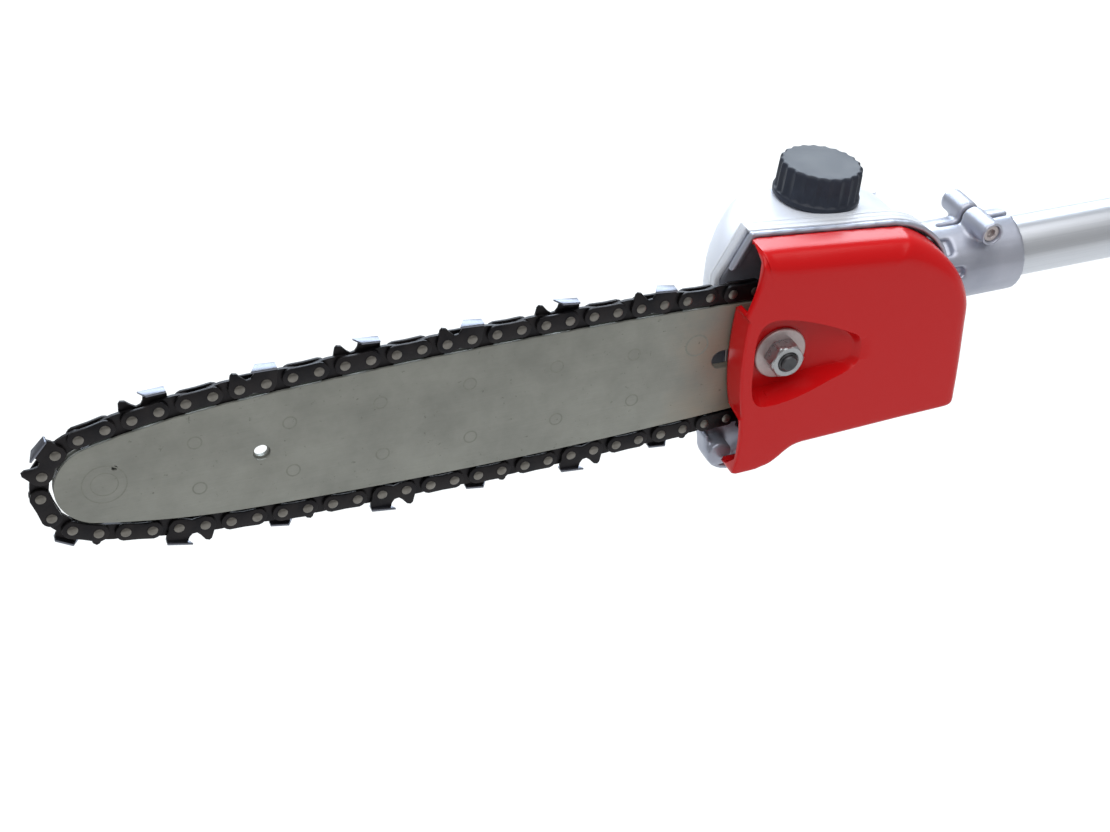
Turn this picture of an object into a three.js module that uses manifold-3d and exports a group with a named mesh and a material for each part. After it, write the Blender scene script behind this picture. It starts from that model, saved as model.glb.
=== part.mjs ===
// Telescoping pole saw: a chain-saw head with a 250 mm guide bar on a two-stage aluminium pole.
// Millimetres, +Z up. The origin is the butt of the pole, on the pole's axis; the bar nose is at -X.
import * as THREE from 'three';
import { mergeVertices } from 'three/addons/utils/BufferGeometryUtils.js';
import { ConvexGeometry } from 'three/addons/geometries/ConvexGeometry.js';
import Module from 'manifold-3d';

const wasm = await Module();
wasm.setup();

// ---------------------------------------------------------------- driving dimensions
const NOSE_TO_BUTT = 960;          // bar nose centre to the end of the pole, pole retracted
const POLE_BEHIND_BAR = 37;        // pole axis behind the bar's middle plane
const PITCH = 9.525;               // mean distance between two chain rivets
const RIVETS = 78;                 // two for each drive link
const SPROCKET_TEETH = 7;          // drive sprocket and nose sprocket
const NOSE_RADIUS = 21.15;         // rivet circle around the bar nose
const FIRST_RIVET = 265.7;         // chain length from the nose tip to the first rivet
const STRAP = 4.0;                 // half the height of a chain link
const CHAIN_HALF = 2.4;            // half the width of the chain
const CUTTER_HALF = 3.4;           // half the width over the cutters
const RAIL = 4.65;                 // bar edge below the rivet line
const BAR_HALF = 2.1;              // half the bar's thickness
const CORE_HALF = 0.65;            // half the bar's groove
const STUD_X = 262.7;              // bar stud, from the nose centre
const GEAR_MODULE = 1.75;
const PINION_TEETH = 13;
const BEVEL_TEETH = 17;
const FACE_WIDTH = 6;
const INNER_TUBE_R = 13;           // 26 mm tube
const INNER_BORE_R = 11.5;
const OUTER_TUBE_R = 15;           // 30 mm tube
const OUTER_BORE_R = 13.4;
const CAP_TILT = 5.5 * Math.PI / 180;
const CAP_BASE = new THREE.Vector3(291.3, 30, 46.2);
const SMOOTH = 32;                 // sides of a large cylinder
const SMALL = 16;                  // sides of a small cylinder

// ---------------------------------------------------------------- materials
const material = (color, roughness, metalness = 0) =>
  new THREE.MeshStandardMaterial({ color, roughness, metalness });
const finish = {
  castAluminium: material(0xa8adb8, 0.5, 0.8),
  tubeAluminium: material(0xc9cccf, 0.35, 0.9),
  redPlastic: material(0xbd2222, 0.3),
  blackPlastic: material(0x222429, 0.5),
  tankPlastic: material(0xf0f2fa, 0.45),
  barSteel: material(0x80827c, 0.55, 0.6),
  chainSteel: material(0x26262a, 0.4, 0.8),
  steel: material(0x9a9da1, 0.35, 0.9),
  darkSteel: material(0x4a4b4e, 0.4, 0.9),
  zinc: material(0xa9acad, 0.4, 0.8),
  bronze: material(0x9c7a3c, 0.4, 0.8),
  rubber: material(0x1b1b1c, 0.8),
};

// ---------------------------------------------------------------- solids
const X = 'x';
const Y = 'y';
const Z = 'z';

function toSolid(geometry) {
  const bare = geometry.clone();
  bare.deleteAttribute('normal');
  bare.deleteAttribute('uv');
  const merged = mergeVertices(bare, 1e-4);
  const index = merged.index ? merged.index.array : merged.attributes.position.array.map((_, i) => i);
  return new wasm.Manifold(new wasm.Mesh({
    numProp: 3,
    vertProperties: new Float32Array(merged.attributes.position.array),
    triVerts: new Uint32Array(index),
  }));
}

function toGeometry(solid) {
  const mesh = solid.getMesh();
  const geometry = new THREE.BufferGeometry();
  geometry.setAttribute('position', new THREE.BufferAttribute(mesh.vertProperties, 3));
  geometry.setIndex(new THREE.BufferAttribute(mesh.triVerts, 1));
  return geometry;
}

const join = (...pieces) => toGeometry(pieces.map(toSolid).reduce((a, b) => a.add(b)));
const common = (a, b) => toGeometry(toSolid(a).intersect(toSolid(b)));

function cut(base, ...tools) {
  return toGeometry(tools.map(toSolid).reduce((a, b) => a.subtract(b), toSolid(base)));
}

function box([x0, x1], [y0, y1], [z0, z1]) {
  const geometry = new THREE.BoxGeometry(x1 - x0, y1 - y0, z1 - z0);
  return geometry.translate((x0 + x1) / 2, (y0 + y1) / 2, (z0 + z1) / 2);
}

// A straight rod along X, Y or Z, from one station to another; the other two coordinates place it.
function rod(axis, radius, [from, to], [u, v] = [0, 0], sides = SMALL) {
  const geometry = new THREE.CylinderGeometry(radius, radius, to - from, sides);
  const middle = (from + to) / 2;
  if (axis === X) return geometry.rotateZ(-Math.PI / 2).translate(middle, u, v);
  if (axis === Z) return geometry.rotateX(Math.PI / 2).translate(u, v, middle);
  return geometry.translate(u, middle, v);
}

function ring(axis, outer, inner, [from, to], at = [0, 0], sides = SMALL) {
  return cut(rod(axis, outer, [from, to], at, sides), rod(axis, inner, [from - 1, to + 1], at, sides));
}

// An outline drawn in the XZ plane, given its thickness along Y.
function slab(shape, [y0, y1], steps = 6) {
  const options = { depth: y1 - y0, bevelEnabled: false, curveSegments: steps };
  return new THREE.ExtrudeGeometry(shape, options).rotateX(Math.PI / 2).translate(0, y1, 0);
}

// The same for an outline in the XY plane, given its height along Z.
function floorPlan(shape, [z0, z1], steps = 6) {
  const options = { depth: z1 - z0, bevelEnabled: false, curveSegments: steps };
  return new THREE.ExtrudeGeometry(shape, options).translate(0, 0, z0);
}

const polygon = points => new THREE.Shape(points.map(([x, z]) => new THREE.Vector2(x, z)));

// Moves every edge of a closed outline inwards by the same distance.
function inset(points, distance) {
  const turn = points.reduce((sum, [x, z], i) => {
    const [nx, nz] = points[(i + 1) % points.length];
    return sum + x * nz - nx * z;
  }, 0) > 0 ? 1 : -1;
  const edges = points.map(([x, z], i) => {
    const [nx, nz] = points[(i + 1) % points.length];
    const length = Math.hypot(nx - x, nz - z);
    const [dx, dz] = [(nx - x) / length, (nz - z) / length];
    return { x: x - turn * dz * distance, z: z + turn * dx * distance, dx, dz };
  });
  return edges.map((edge, i) => {
    const before = edges[(i + edges.length - 1) % edges.length];
    const cross = before.dx * edge.dz - before.dz * edge.dx;
    if (Math.abs(cross) < 1e-6) return [edge.x, edge.z];
    const t = ((edge.x - before.x) * edge.dz - (edge.z - before.z) * edge.dx) / cross;
    return [before.x + t * before.dx, before.z + t * before.dz];
  });
}

const outlinePoints = (shape, steps = 6) => shape.getPoints(steps)
  .map(p => [p.x, p.y])
  .filter(([x, z], i, all) => i === 0 || Math.hypot(x - all[i - 1][0], z - all[i - 1][1]) > 0.01)
  .filter(([x, z], i, all) => i === 0 || Math.hypot(x - all[0][0], z - all[0][1]) > 0.01);

function hexagon(axis, acrossFlats, span, at) {
  return rod(axis, acrossFlats / Math.sqrt(3), span, at, 6);
}

function named(name, geometry, look) {
  const mesh = new THREE.Mesh(geometry, look);
  mesh.name = name;
  return mesh;
}

// ---------------------------------------------------------------- scene graph
const saw = new THREE.Group();
const pole = new THREE.Group();
const head = new THREE.Group();
head.position.set(-NOSE_TO_BUTT, -POLE_BEHIND_BAR, 0);   // head's own origin: the bar nose centre
saw.add(pole, head);
const POLE = [POLE_BEHIND_BAR, 0];                        // pole axis as seen from the head

// ---------------------------------------------------------------- chain path
// Half of the loop, from the nose tip over the top to the back of the drive sprocket:
// nose arc, two shallow arcs of the bar's rail, a straight run and the sprocket arc.
const SHOULDER = { radius: 312, from: 13.2 * Math.PI / 180, to: 3.1 * Math.PI / 180 };
const FLANK_RADIUS = 1908;
const RAIL_END = 266.1;                                   // where the chain leaves the bar
const SPROCKET_RADIUS = PITCH / (2 * Math.sin(Math.PI / (2 * SPROCKET_TEETH)));
const HALF_LOOP = PITCH * RIVETS / 2;

function halfPath(sprocketX) {
  const noseEnd = new THREE.Vector2(-Math.sin(SHOULDER.from), Math.cos(SHOULDER.from))
    .multiplyScalar(NOSE_RADIUS);
  const arc = (start, radius, from, to) => ({
    length: radius * (from - to),
    at: s => {
      const angle = from - s / radius;
      return {
        x: start.x + radius * (Math.sin(from) - Math.sin(angle)),
        z: start.y + radius * (Math.cos(angle) - Math.cos(from)),
        angle,
      };
    },
  });
  const nose = arc({ x: -NOSE_RADIUS, y: 0 }, NOSE_RADIUS, Math.PI / 2, SHOULDER.from);
  const shoulder = arc(noseEnd, SHOULDER.radius, SHOULDER.from, SHOULDER.to);
  const flankStart = shoulder.at(shoulder.length);
  const start = { x: flankStart.x, y: flankStart.z };
  const peak = start.x + FLANK_RADIUS * Math.sin(SHOULDER.to);
  const tailAngle = -Math.asin((RAIL_END - peak) / FLANK_RADIUS);
  const flank = arc(start, FLANK_RADIUS, SHOULDER.to, tailAngle);
  const leave = flank.at(flank.length);
  // From the rail's end the chain runs straight to the tangent of the sprocket's rivet circle.
  const reach = Math.hypot(sprocketX - leave.x, leave.z);
  const slope = Math.asin(leave.z / reach) - Math.asin(SPROCKET_RADIUS / reach);
  const straight = {
    length: Math.sqrt(reach ** 2 - SPROCKET_RADIUS ** 2),
    at: s => ({ x: leave.x + s * Math.cos(slope), z: leave.z - s * Math.sin(slope), angle: -slope }),
  };
  const end = straight.at(straight.length);
  const round = arc({ x: end.x, y: end.z }, SPROCKET_RADIUS, -slope, -Math.PI / 2);
  return [nose, shoulder, flank, straight, round];
}

const lengthOf = parts => parts.reduce((sum, part) => sum + part.length, 0);

// The sprocket sits where the chosen number of links closes the loop.
function closeLoop() {
  let low = 280;
  let high = 330;
  for (let i = 0; i < 50; i++) {
    const middle = (low + high) / 2;
    if (lengthOf(halfPath(middle)) < HALF_LOOP) low = middle;
    else high = middle;
  }
  return (low + high) / 2;
}

const SPROCKET_X = closeLoop();
const PATH = halfPath(SPROCKET_X);

// A point of the loop at a distance from the nose tip: positive over the top, negative underneath.
function onChain(distance) {
  const loop = 2 * HALF_LOOP;
  const wrapped = ((distance % loop) + loop) % loop;
  const side = wrapped <= HALF_LOOP ? 1 : -1;
  let s = side > 0 ? wrapped : loop - wrapped;
  let part = PATH[0];
  for (part of PATH) {
    if (s <= part.length) break;
    s -= part.length;
  }
  const point = part.at(Math.min(s, part.length));
  const [dx, dz] = [Math.cos(point.angle), Math.sin(point.angle)];
  return { x: point.x, z: side * point.z, out: [-dz, side * dx], ahead: [dx, side * dz] };
}

const offsetPoint = (distance, out) => {
  const p = onChain(distance);
  return [p.x + p.out[0] * out, p.z + p.out[1] * out];
};

// ---------------------------------------------------------------- saw chain
// The links are one ring with the cutters standing on it, on alternate sides.
function sawChain() {
  const rivets = Array.from({ length: RIVETS }, (_, i) => FIRST_RIVET - i * PITCH);
  const outer = rivets.map(s => offsetPoint(s, STRAP));
  const inner = rivets.map(s => offsetPoint(s, -STRAP));
  const band = cut(
    slab(polygon(outer), [-CHAIN_HALF, CHAIN_HALF]),
    slab(polygon(inner), [-CHAIN_HALF - 1, CHAIN_HALF + 1]),
  );
  const cutters = rivets.flatMap((s, i) => {
    const step = i % 8;
    if (step !== 2 && step !== 6) return [];
    const side = step === 2 ? -1 : 1;
    const depth = side < 0 ? [-CUTTER_HALF, CHAIN_HALF] : [-CHAIN_HALF, CUTTER_HALF];
    const profile = [[4.5, 3], [4.5, 7.4], [-2.5, 7.6], [-5, 5], [-9.5, 6.8], [-13, 5], [-13, 3]];
    return [slab(polygon(profile.map(([along, out]) => offsetPoint(s + along, out))), depth)];
  });
  return join(band, ...cutters);
}
head.add(named('saw_chain', sawChain(), finish.chainSteel));

// ---------------------------------------------------------------- guide bar
// Three steel plates: the middle one is set back, which leaves the groove that guides the chain.
const TAIL_X = 278;
const ADJUST = { x: 254, z: -13, radius: 3.2 };           // hole for the tension pin
const OIL_HOLE = { x: 249, z: 16.5, radius: 1.6 };

function barOutline(inward) {
  const top = [];
  for (let s = 0; onChain(s).x < TAIL_X - 12; s += s < 50 ? 5.5 : 20) {
    top.push(offsetPoint(s, -RAIL - inward));
  }
  top.push([TAIL_X - 11, 22.5 - inward], [TAIL_X - 3 - inward, 15], [TAIL_X - inward, 9]);
  const bottom = top.slice(1).reverse().map(([x, z]) => [x, -z]);
  return polygon([...top, ...bottom]);
}

const slotted = plate => cut(
  plate,
  box([STUD_X - 24, STUD_X + 8], [-5, 5], [-4.15, 4.15]),
  rod(Y, 4.15, [-5, 5], [STUD_X - 24, 0]),
  rod(Y, 4.15, [-5, 5], [STUD_X + 8, 0]),
  ...[-1, 1].map(side => rod(Y, ADJUST.radius, [-5, 5], [ADJUST.x, side * ADJUST.z])),
  ...[-1, 1].map(side => rod(Y, OIL_HOLE.radius, [-5, 5], [OIL_HOLE.x, side * OIL_HOLE.z], 12)),
  rod(Y, 2.5, [-5, 5], [56.7, 0], 16),
);

function barPlate(side) {
  const depth = side < 0 ? [-BAR_HALF, -CORE_HALF] : [CORE_HALF, BAR_HALF];
  return cut(slotted(slab(barOutline(0), depth)), rod(Y, 1, [-5, 5], [5, 6], 12));
}

const noseSpace = rod(Y, 17.6, [-5, 5], [0, 0], SMOOTH);
head.add(named('bar_plate_near', barPlate(-1), finish.barSteel));
head.add(named('bar_plate_far', barPlate(1), finish.barSteel));
const core = cut(slotted(slab(barOutline(6), [-CORE_HALF, CORE_HALF])), noseSpace);
head.add(named('bar_core', core, finish.barSteel));

// The nose sprocket turns between the plates on a fixed race; its points reach the chain's links.
function toothedDisc(teeth, root, tip, span, bore) {
  const points = [];
  for (let i = 0; i < teeth; i++) {
    [[-0.5, root], [-0.2, root], [-0.1, tip], [0.1, tip], [0.2, root]].forEach(([step, radius]) => {
      const angle = 2 * Math.PI * (i + step) / teeth;
      points.push([radius * Math.cos(angle), radius * Math.sin(angle)]);
    });
  }
  return cut(slab(polygon(points), span), rod(Y, bore, [span[0] - 1, span[1] + 1], [0, 0], SMALL));
}
head.add(named('nose_race', rod(Y, 8, [-CORE_HALF, CORE_HALF]), finish.steel));
const noseWheel = toothedDisc(SPROCKET_TEETH, 12.2, 16.5, [-0.55, 0.55], 8.4);
head.add(named('nose_sprocket', noseWheel, finish.darkSteel));

// ---------------------------------------------------------------- bevel gears
// Built on +Z with the cone's tip at the origin, then turned to its own axis.
const PINION_R = GEAR_MODULE * PINION_TEETH / 2;
const BEVEL_R = GEAR_MODULE * BEVEL_TEETH / 2;
const CONE = Math.hypot(PINION_R, BEVEL_R);
const ADDENDUM = 0.62 * GEAR_MODULE;
const DEDENDUM = 1.0 * GEAR_MODULE;
const TOOTH_HALF = 0.215 * Math.PI * GEAR_MODULE;         // half a tooth at the pitch line, with backlash
const FLANK = Math.tan(24 * Math.PI / 180);

function bevelGear(teeth, pitchRadius, phase, { bore, back, hubRadius, hubEnd }) {
  const half = Math.asin(pitchRadius / CONE);
  // A point at a cone distance and a height above the pitch cone, as radius and axial place.
  const at = (cone, height) => {
    const h = height * cone / CONE;
    return [cone * Math.sin(half) + h * Math.cos(half), cone * Math.cos(half) - h * Math.sin(half)];
  };
  const inner = CONE - FACE_WIDTH;
  const [r0, z0] = at(inner, -DEDENDUM);
  const [r1, z1] = at(CONE, -DEDENDUM);
  const profile = [[bore, z0], [r0, z0], [r1, z1], [r1 - 1, back], [hubRadius, back], [hubRadius, hubEnd],
    [bore, hubEnd], [bore, z0]].map(([r, z]) => new THREE.Vector2(r, z));
  if (bore === 0) profile.pop();
  const blank = new THREE.LatheGeometry(profile, SMALL).rotateX(Math.PI / 2);
  const solids = [blank];
  for (let i = 0; i < teeth; i++) {
    const turn = 2 * Math.PI * (i + phase) / teeth;
    const corners = [];
    for (const cone of [inner, CONE]) {
      for (const height of [-DEDENDUM - 0.4, ADDENDUM]) {
        const [r, z] = at(cone, height);
        const w = (TOOTH_HALF - height * FLANK) * cone / CONE;
        corners.push(new THREE.Vector3(r, -w, z), new THREE.Vector3(r, w, z));
      }
    }
    solids.push(new ConvexGeometry(corners).rotateZ(turn));
  }
  return join(...solids);
}

function turned(geometry, x, y, z) {
  return geometry.applyMatrix4(new THREE.Matrix4().makeBasis(
    new THREE.Vector3(...x), new THREE.Vector3(...y), new THREE.Vector3(...z)));
}

// ---------------------------------------------------------------- output shaft
const SHAFT_R = 5;
const output = new THREE.Group();
output.position.set(SPROCKET_X, 0, 0);
head.add(output);

const bevelForm = { bore: SHAFT_R + 0.02, back: 15.5, hubRadius: 9, hubEnd: 21 };
const bevel = bevelGear(BEVEL_TEETH, BEVEL_R, 0.5, bevelForm);
output.add(named('bevel_gear',
  turned(bevel, [1, 0, 0], [0, 0, 1], [0, -1, 0]).translate(0, POLE_BEHIND_BAR, 0), finish.darkSteel));

const outputShaft = cut(
  join(rod(Y, SHAFT_R, [-9, 48]), rod(Y, 4, [48, 58.5])),
  cut(rod(Y, 8, [-7.6, -6.5]), rod(Y, 4.2, [-9, -5])),
);
output.add(named('output_shaft', outputShaft, finish.steel));

const sprocketTeeth = toothedDisc(SPROCKET_TEETH, 12.5, 16.4, [-3.2, 3.2], SHAFT_R);
const sprocketHub = ring(Y, 9, SHAFT_R, [3.2, 5.7]);
output.add(named('drive_sprocket', join(sprocketTeeth, sprocketHub), finish.darkSteel));
output.add(named('sprocket_washer', ring(Y, 10, SHAFT_R + 0.05, [-5.8, -4.3]), finish.zinc));
const clip = cut(ring(Y, 7.6, 4.35, [-7.4, -6.7]), box([-2, 2], [-9, -5], [0, 9]));
output.add(named('retaining_clip', clip, finish.darkSteel));

// ---------------------------------------------------------------- pinion and drive shafts
const DRIVE_HALF = 3.5;                                    // square drive shaft
const TUBE_FRONT = 348.5;                                  // front end of the inner tube, from the nose
const pinionAxis = new THREE.Group();
pinionAxis.position.set(SPROCKET_X, POLE_BEHIND_BAR, 0);
head.add(pinionAxis);

const pinionTeeth = bevelGear(PINION_TEETH, PINION_R, 0, { bore: 0, back: 19, hubRadius: 6, hubEnd: 44.5 });
const pinion = cut(
  turned(pinionTeeth, [0, -1, 0], [0, 0, -1], [1, 0, 0]),
  box([28, 60], [-DRIVE_HALF - 0.05, DRIVE_HALF + 0.05], [-DRIVE_HALF - 0.05, DRIVE_HALF + 0.05]),
);
pinionAxis.add(named('pinion_gear', pinion, finish.darkSteel));

function squareBar(half, chamfer, [from, to]) {
  const c = half - chamfer;
  const points = [
    [half, c], [c, half], [-c, half], [-half, c],
    [-half, -c], [-c, -half], [c, -half], [half, -c],
  ];
  return new THREE.ExtrudeGeometry(polygon(points), { depth: to - from, bevelEnabled: false })
    .rotateY(Math.PI / 2).translate(from, 0, 0);
}
const UPPER_SHAFT = [SPROCKET_X + 30, NOSE_TO_BUTT - 110];
const upperShaft = squareBar(DRIVE_HALF, 0.8, UPPER_SHAFT).translate(0, POLE_BEHIND_BAR, 0);
head.add(named('upper_drive_shaft', upperShaft, finish.steel));

const LOWER_SHAFT = [-430, -34];
const lowerShaft = cut(rod(X, 5.8, LOWER_SHAFT), squareBar(DRIVE_HALF + 0.1, 0.8, [-440, -20]));
pole.add(named('lower_drive_shaft', lowerShaft, finish.darkSteel));

// ---------------------------------------------------------------- bearings
const bearing = (axis, outer, bore, span, at) => ring(axis, outer, bore + 0.05, span, at, SMOOTH);
head.add(named('output_bearing_near', bearing(Y, 13, SHAFT_R, [7, 15], [SPROCKET_X, 0]), finish.steel));
head.add(named('output_bearing_far', bearing(Y, 11, 4, [52.3, 58], [SPROCKET_X, 0]), finish.steel));
[[20, 28], [34, 42]].forEach((span, i) => {
  const geometry = bearing(X, 14, 6, span.map(x => SPROCKET_X + x), POLE);
  head.add(named(`pinion_bearing_${i + 1}`, geometry, finish.steel));
});

// ---------------------------------------------------------------- gear case
// The outline of the tray that carries the bar, the stud and, behind it, the bevel gears.
const TRAY = new THREE.Shape();
TRAY.moveTo(248.6, 52.8);
TRAY.lineTo(311, 46.8);
TRAY.bezierCurveTo(327, 44.5, 339.5, 33, 341, 14);
TRAY.lineTo(342.4, -36);
TRAY.quadraticCurveTo(342.4, -38.8, 339, -39);
TRAY.lineTo(268, -43);
TRAY.quadraticCurveTo(256, -57, 247, -57);
TRAY.quadraticCurveTo(239, -56, 236.5, -47);
TRAY.lineTo(235, -34);
TRAY.lineTo(237.2, 32.5);
TRAY.closePath();
const TRAY_BACK = [6, 9];
const MOUTH = [[200, 250], [-5, 6], [-37.5, 37.5]];       // where the chain runs into the tray
// Above this height the tray is set in behind its lip, and the tank's skirt fits over it.
const SKIRT = { front: 3.4, above: 27, end: 333, thick: 2.2, gap: 0.1 };
const GEARBOX = { x0: 279, x1: 331, half: 24, far: 52 };
const COLLAR = { from: 352, to: 391.5, radius: 17.5 };
const FOOT = { x: 241.5, z: -46, radius: 5.5 };         // round foot at the front of the tray
const LUG = { x: 372, z: 19.5, radius: 5.2, near: 19, far: 53 };
const LID_SCREWS = [[283.2, 19.8], [283.2, -19.8], [326.8, 19.8], [326.8, -19.8]];
const TENSION_Z = ADJUST.z;

function gearCase() {
  const points = outlinePoints(TRAY);
  const rim = cut(slab(polygon(points), [0.3, 6.5]), slab(polygon(inset(points, 2.2)), [-1, 8]));
  const innerRim = common(
    cut(
      slab(polygon(inset(points, 2.2)), [2.4, 6.5]),
      slab(polygon(inset(points, 2.2)), [-1, 8]).translate(2, 0, -2.4),
    ),
    box([230, 333], [0, 9], [26, 60]),
  );
  const shell = join(
    slab(polygon(points), TRAY_BACK),
    rim,
    innerRim,
    box([245, 283], [3.1, 7], [-19, 19]),
    rod(Y, FOOT.radius, [-3, 7], [FOOT.x, FOOT.z]),
    rod(Y, 7, [8, 18], [STUD_X, 0]),
    box([GEARBOX.x0, GEARBOX.x1], [8, GEARBOX.far], [-GEARBOX.half, GEARBOX.half]),
    rod(X, 16.2, [GEARBOX.x1 - 1, 353], POLE, SMOOTH),
    rod(X, COLLAR.radius, [COLLAR.from, COLLAR.to], POLE, SMOOTH),
    ...[15, 75, 130, 230, 300].map(neckRib),
    rod(Y, LUG.radius, [LUG.near, LUG.far], [LUG.x, LUG.z]),
    box([LUG.x - LUG.radius, LUG.x + LUG.radius], [29, 45], [8, LUG.z]),
  );
  const { front, above, end, thick, gap } = SKIRT;
  const setBack = cut(
    box([230, end], [front, 9.5], [above, 60]),
    slab(polygon(inset(points, thick + gap)), [0, 10]),
  );
  return cut(
    shell,
    setBack,
    box(...MOUTH),
    rod(Y, 19.5, [15, 60], [SPROCKET_X, 0], SMOOTH),
    rod(Y, 13.05, [7, 16], [SPROCKET_X, 0], SMOOTH),
    rod(Y, 8, [0, 10], [SPROCKET_X, 0]),
    rod(X, 14.05, [SPROCKET_X, 346], POLE, SMOOTH),
    rod(X, 12, [340, 350], POLE, SMOOTH),
    neckPocket([347, 357.5], 3.8, 40),
    neckPocket([353, 362], 2.4, 79),
    rod(X, INNER_TUBE_R + 0.1, [TUBE_FRONT - 0.5, 400], POLE, SMOOTH),
    rod(Y, 4.05, [0, 16.5], [STUD_X, 0]),
    box([COLLAR.from + 4, 400], [36.2, 37.8], [8, 30]),
    rod(Y, 3.9, [0, 24.5], [LUG.x, LUG.z]),
    rod(Y, 2.6, [20, 60], [LUG.x, LUG.z]),
    ...LID_SCREWS.map(at => rod(Y, 2.6, [38, 60], at, 16)),
    rod(Z, 2.6, [-30, -10], [LUG.x, POLE_BEHIND_BAR], 16),
    rod(X, 3.6, [240, 262], [4.2 + 3.5, TENSION_Z], 16),
    box([246, 272], [3, 12], [TENSION_Z - 4.2, TENSION_Z + 4.2]),
  );
}

// A pocket cored into the near side of the neck and collar, whose floor is clear of the tube.
function neckPocket([from, to], half, degrees) {
  return box([from, to], [-half, half], [14.5, 20])
    .rotateX(degrees * Math.PI / 180).translate(0, POLE_BEHIND_BAR, 0);
}

// Ribs of the neck join the collar to the gearbox; between them the casting is cored out.
function neckRib(degrees) {
  return box([GEARBOX.x1 - 1, COLLAR.from + 1], [-2.6, 2.6], [12, COLLAR.radius])
    .rotateX(degrees * Math.PI / 180).translate(0, POLE_BEHIND_BAR, 0);
}

head.add(named('gear_case', gearCase(), finish.castAluminium));

// ---------------------------------------------------------------- gear case lid and screws
const lid = cut(
  join(
    box([GEARBOX.x0, GEARBOX.x1 - 1.5], [GEARBOX.far, 55], [-GEARBOX.half, GEARBOX.half]),
    rod(Y, 14, [54, 61], [SPROCKET_X, 0], SMOOTH),
  ),
  rod(Y, 11.05, [50, 59.5], [SPROCKET_X, 0], SMOOTH),
  ...LID_SCREWS.map(at => rod(Y, 2.6, [50, 60], at, 16)),
);
head.add(named('gear_case_lid', lid, finish.castAluminium));

// A socket screw along Y: its head's near or far face, the head's depth and the end of the thread.
function screwAlongY(at, shankRadius, headRadius, [headStart, headEnd], shankEnd) {
  const outward = headStart < headEnd ? [headStart, headEnd] : [headEnd, headStart];
  const shank = headStart < headEnd ? [headEnd - 0.5, shankEnd] : [shankEnd, headEnd + 0.5];
  const socket = headStart < headEnd ? [headStart - 1, headStart + 2] : [headStart - 2, headStart + 1];
  return cut(
    join(rod(Y, headRadius, outward, at), rod(Y, shankRadius, shank, at, 16)),
    rod(Y, headRadius * 0.55, socket, at, 6),
  );
}
LID_SCREWS.forEach((at, i) => {
  head.add(named(`lid_screw_${i + 1}`, screwAlongY(at, 2.3, 4, [59, 55], 40), finish.zinc));
});
head.add(named('clamp_screw', screwAlongY([LUG.x, LUG.z], 2.4, 3.7, [20.5, 24.5], 50), finish.zinc));
const locatingScrew = cut(
  join(rod(Z, 2.4, [-17.2, -11.8], [LUG.x, POLE_BEHIND_BAR], 16),
    rod(Z, 4, [-21, -17.8], [LUG.x, POLE_BEHIND_BAR]),
    rod(Z, 2.4, [-18.5, -17], [LUG.x, POLE_BEHIND_BAR], 16)),
  rod(Z, 2.2, [-22, -19.5], [LUG.x, POLE_BEHIND_BAR], 6),
);
head.add(named('locating_screw', locatingScrew, finish.zinc));

// ---------------------------------------------------------------- bar stud, guide plate, tensioner
head.add(named('bar_stud', rod(Y, 4, [-14, 16], [STUD_X, 0]), finish.darkSteel));

const guidePlate = cut(
  slab(polygon([[243, -20], [283, -20], [283, 20], [243, 20]]), [BAR_HALF, 3.1]),
  rod(Y, 4.2, [0, 5], [STUD_X, 0]),
  box([246, 264], [0, 5], [TENSION_Z - 3.4, TENSION_Z + 3.4]),
);
head.add(named('guide_plate', guidePlate, finish.zinc));

const TENSION_Y = 7.7;
const tensionScrew = cut(
  join(
    rod(X, 2.5, [241.5, 270], [TENSION_Y, TENSION_Z], 16),
    rod(X, 3.4, [240.5, 243], [TENSION_Y, TENSION_Z], 16),
  ),
  box([239, 241.5], [TENSION_Y - 4, TENSION_Y + 4], [TENSION_Z - 0.5, TENSION_Z + 0.5]),
);
head.add(named('tension_screw', tensionScrew, finish.zinc));
const tensionBlock = cut(
  join(box([ADJUST.x - 4, ADJUST.x + 4], [4.2, 11], [TENSION_Z - 3.9, TENSION_Z + 3.9]),
    rod(Y, 2.9, [-1.8, 5], [ADJUST.x, TENSION_Z])),
  rod(X, 2.6, [240, 270], [TENSION_Y, TENSION_Z], 16),
);
head.add(named('tension_block', tensionBlock, finish.darkSteel));

// ---------------------------------------------------------------- oil tank
const TANK_Y = [9.3, 46];
const TOP_SLOPE = Math.tan(CAP_TILT);
const tankTop = x => CAP_BASE.z - (x - CAP_BASE.x) * TOP_SLOPE;
const TANK_WALL = 2.2;
const TANK_FLOOR = 8;
const PICKUP = [269, 26];                                 // where the oil line enters the tank's floor

function tankSide() {
  const shape = new THREE.Shape();
  shape.moveTo(238, TANK_FLOOR);
  shape.lineTo(238, 22);
  shape.bezierCurveTo(238, 40, 248, tankTop(250), 264, tankTop(264));
  shape.lineTo(306, tankTop(306));
  shape.bezierCurveTo(318, 43, 326, 38, 332, 26);
  shape.lineTo(277.5, 26);
  shape.lineTo(277.5, TANK_FLOOR);
  shape.closePath();
  return outlinePoints(shape);
}

function tankPlan() {
  const shape = new THREE.Shape();
  shape.moveTo(237.9, 0);
  shape.lineTo(237.9, 9);
  shape.bezierCurveTo(239, 30, 252, 44, 272, 46);
  shape.lineTo(318, 46);
  shape.quadraticCurveTo(334, 44, 334, 30);
  shape.lineTo(334, 0);
  shape.closePath();
  return outlinePoints(shape);
}

// Geometry built around the cap's own axis, with the tank's top at height zero.
const onCapAxis = geometry => geometry.rotateY(CAP_TILT).translate(CAP_BASE.x, CAP_BASE.y, CAP_BASE.z);

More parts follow.
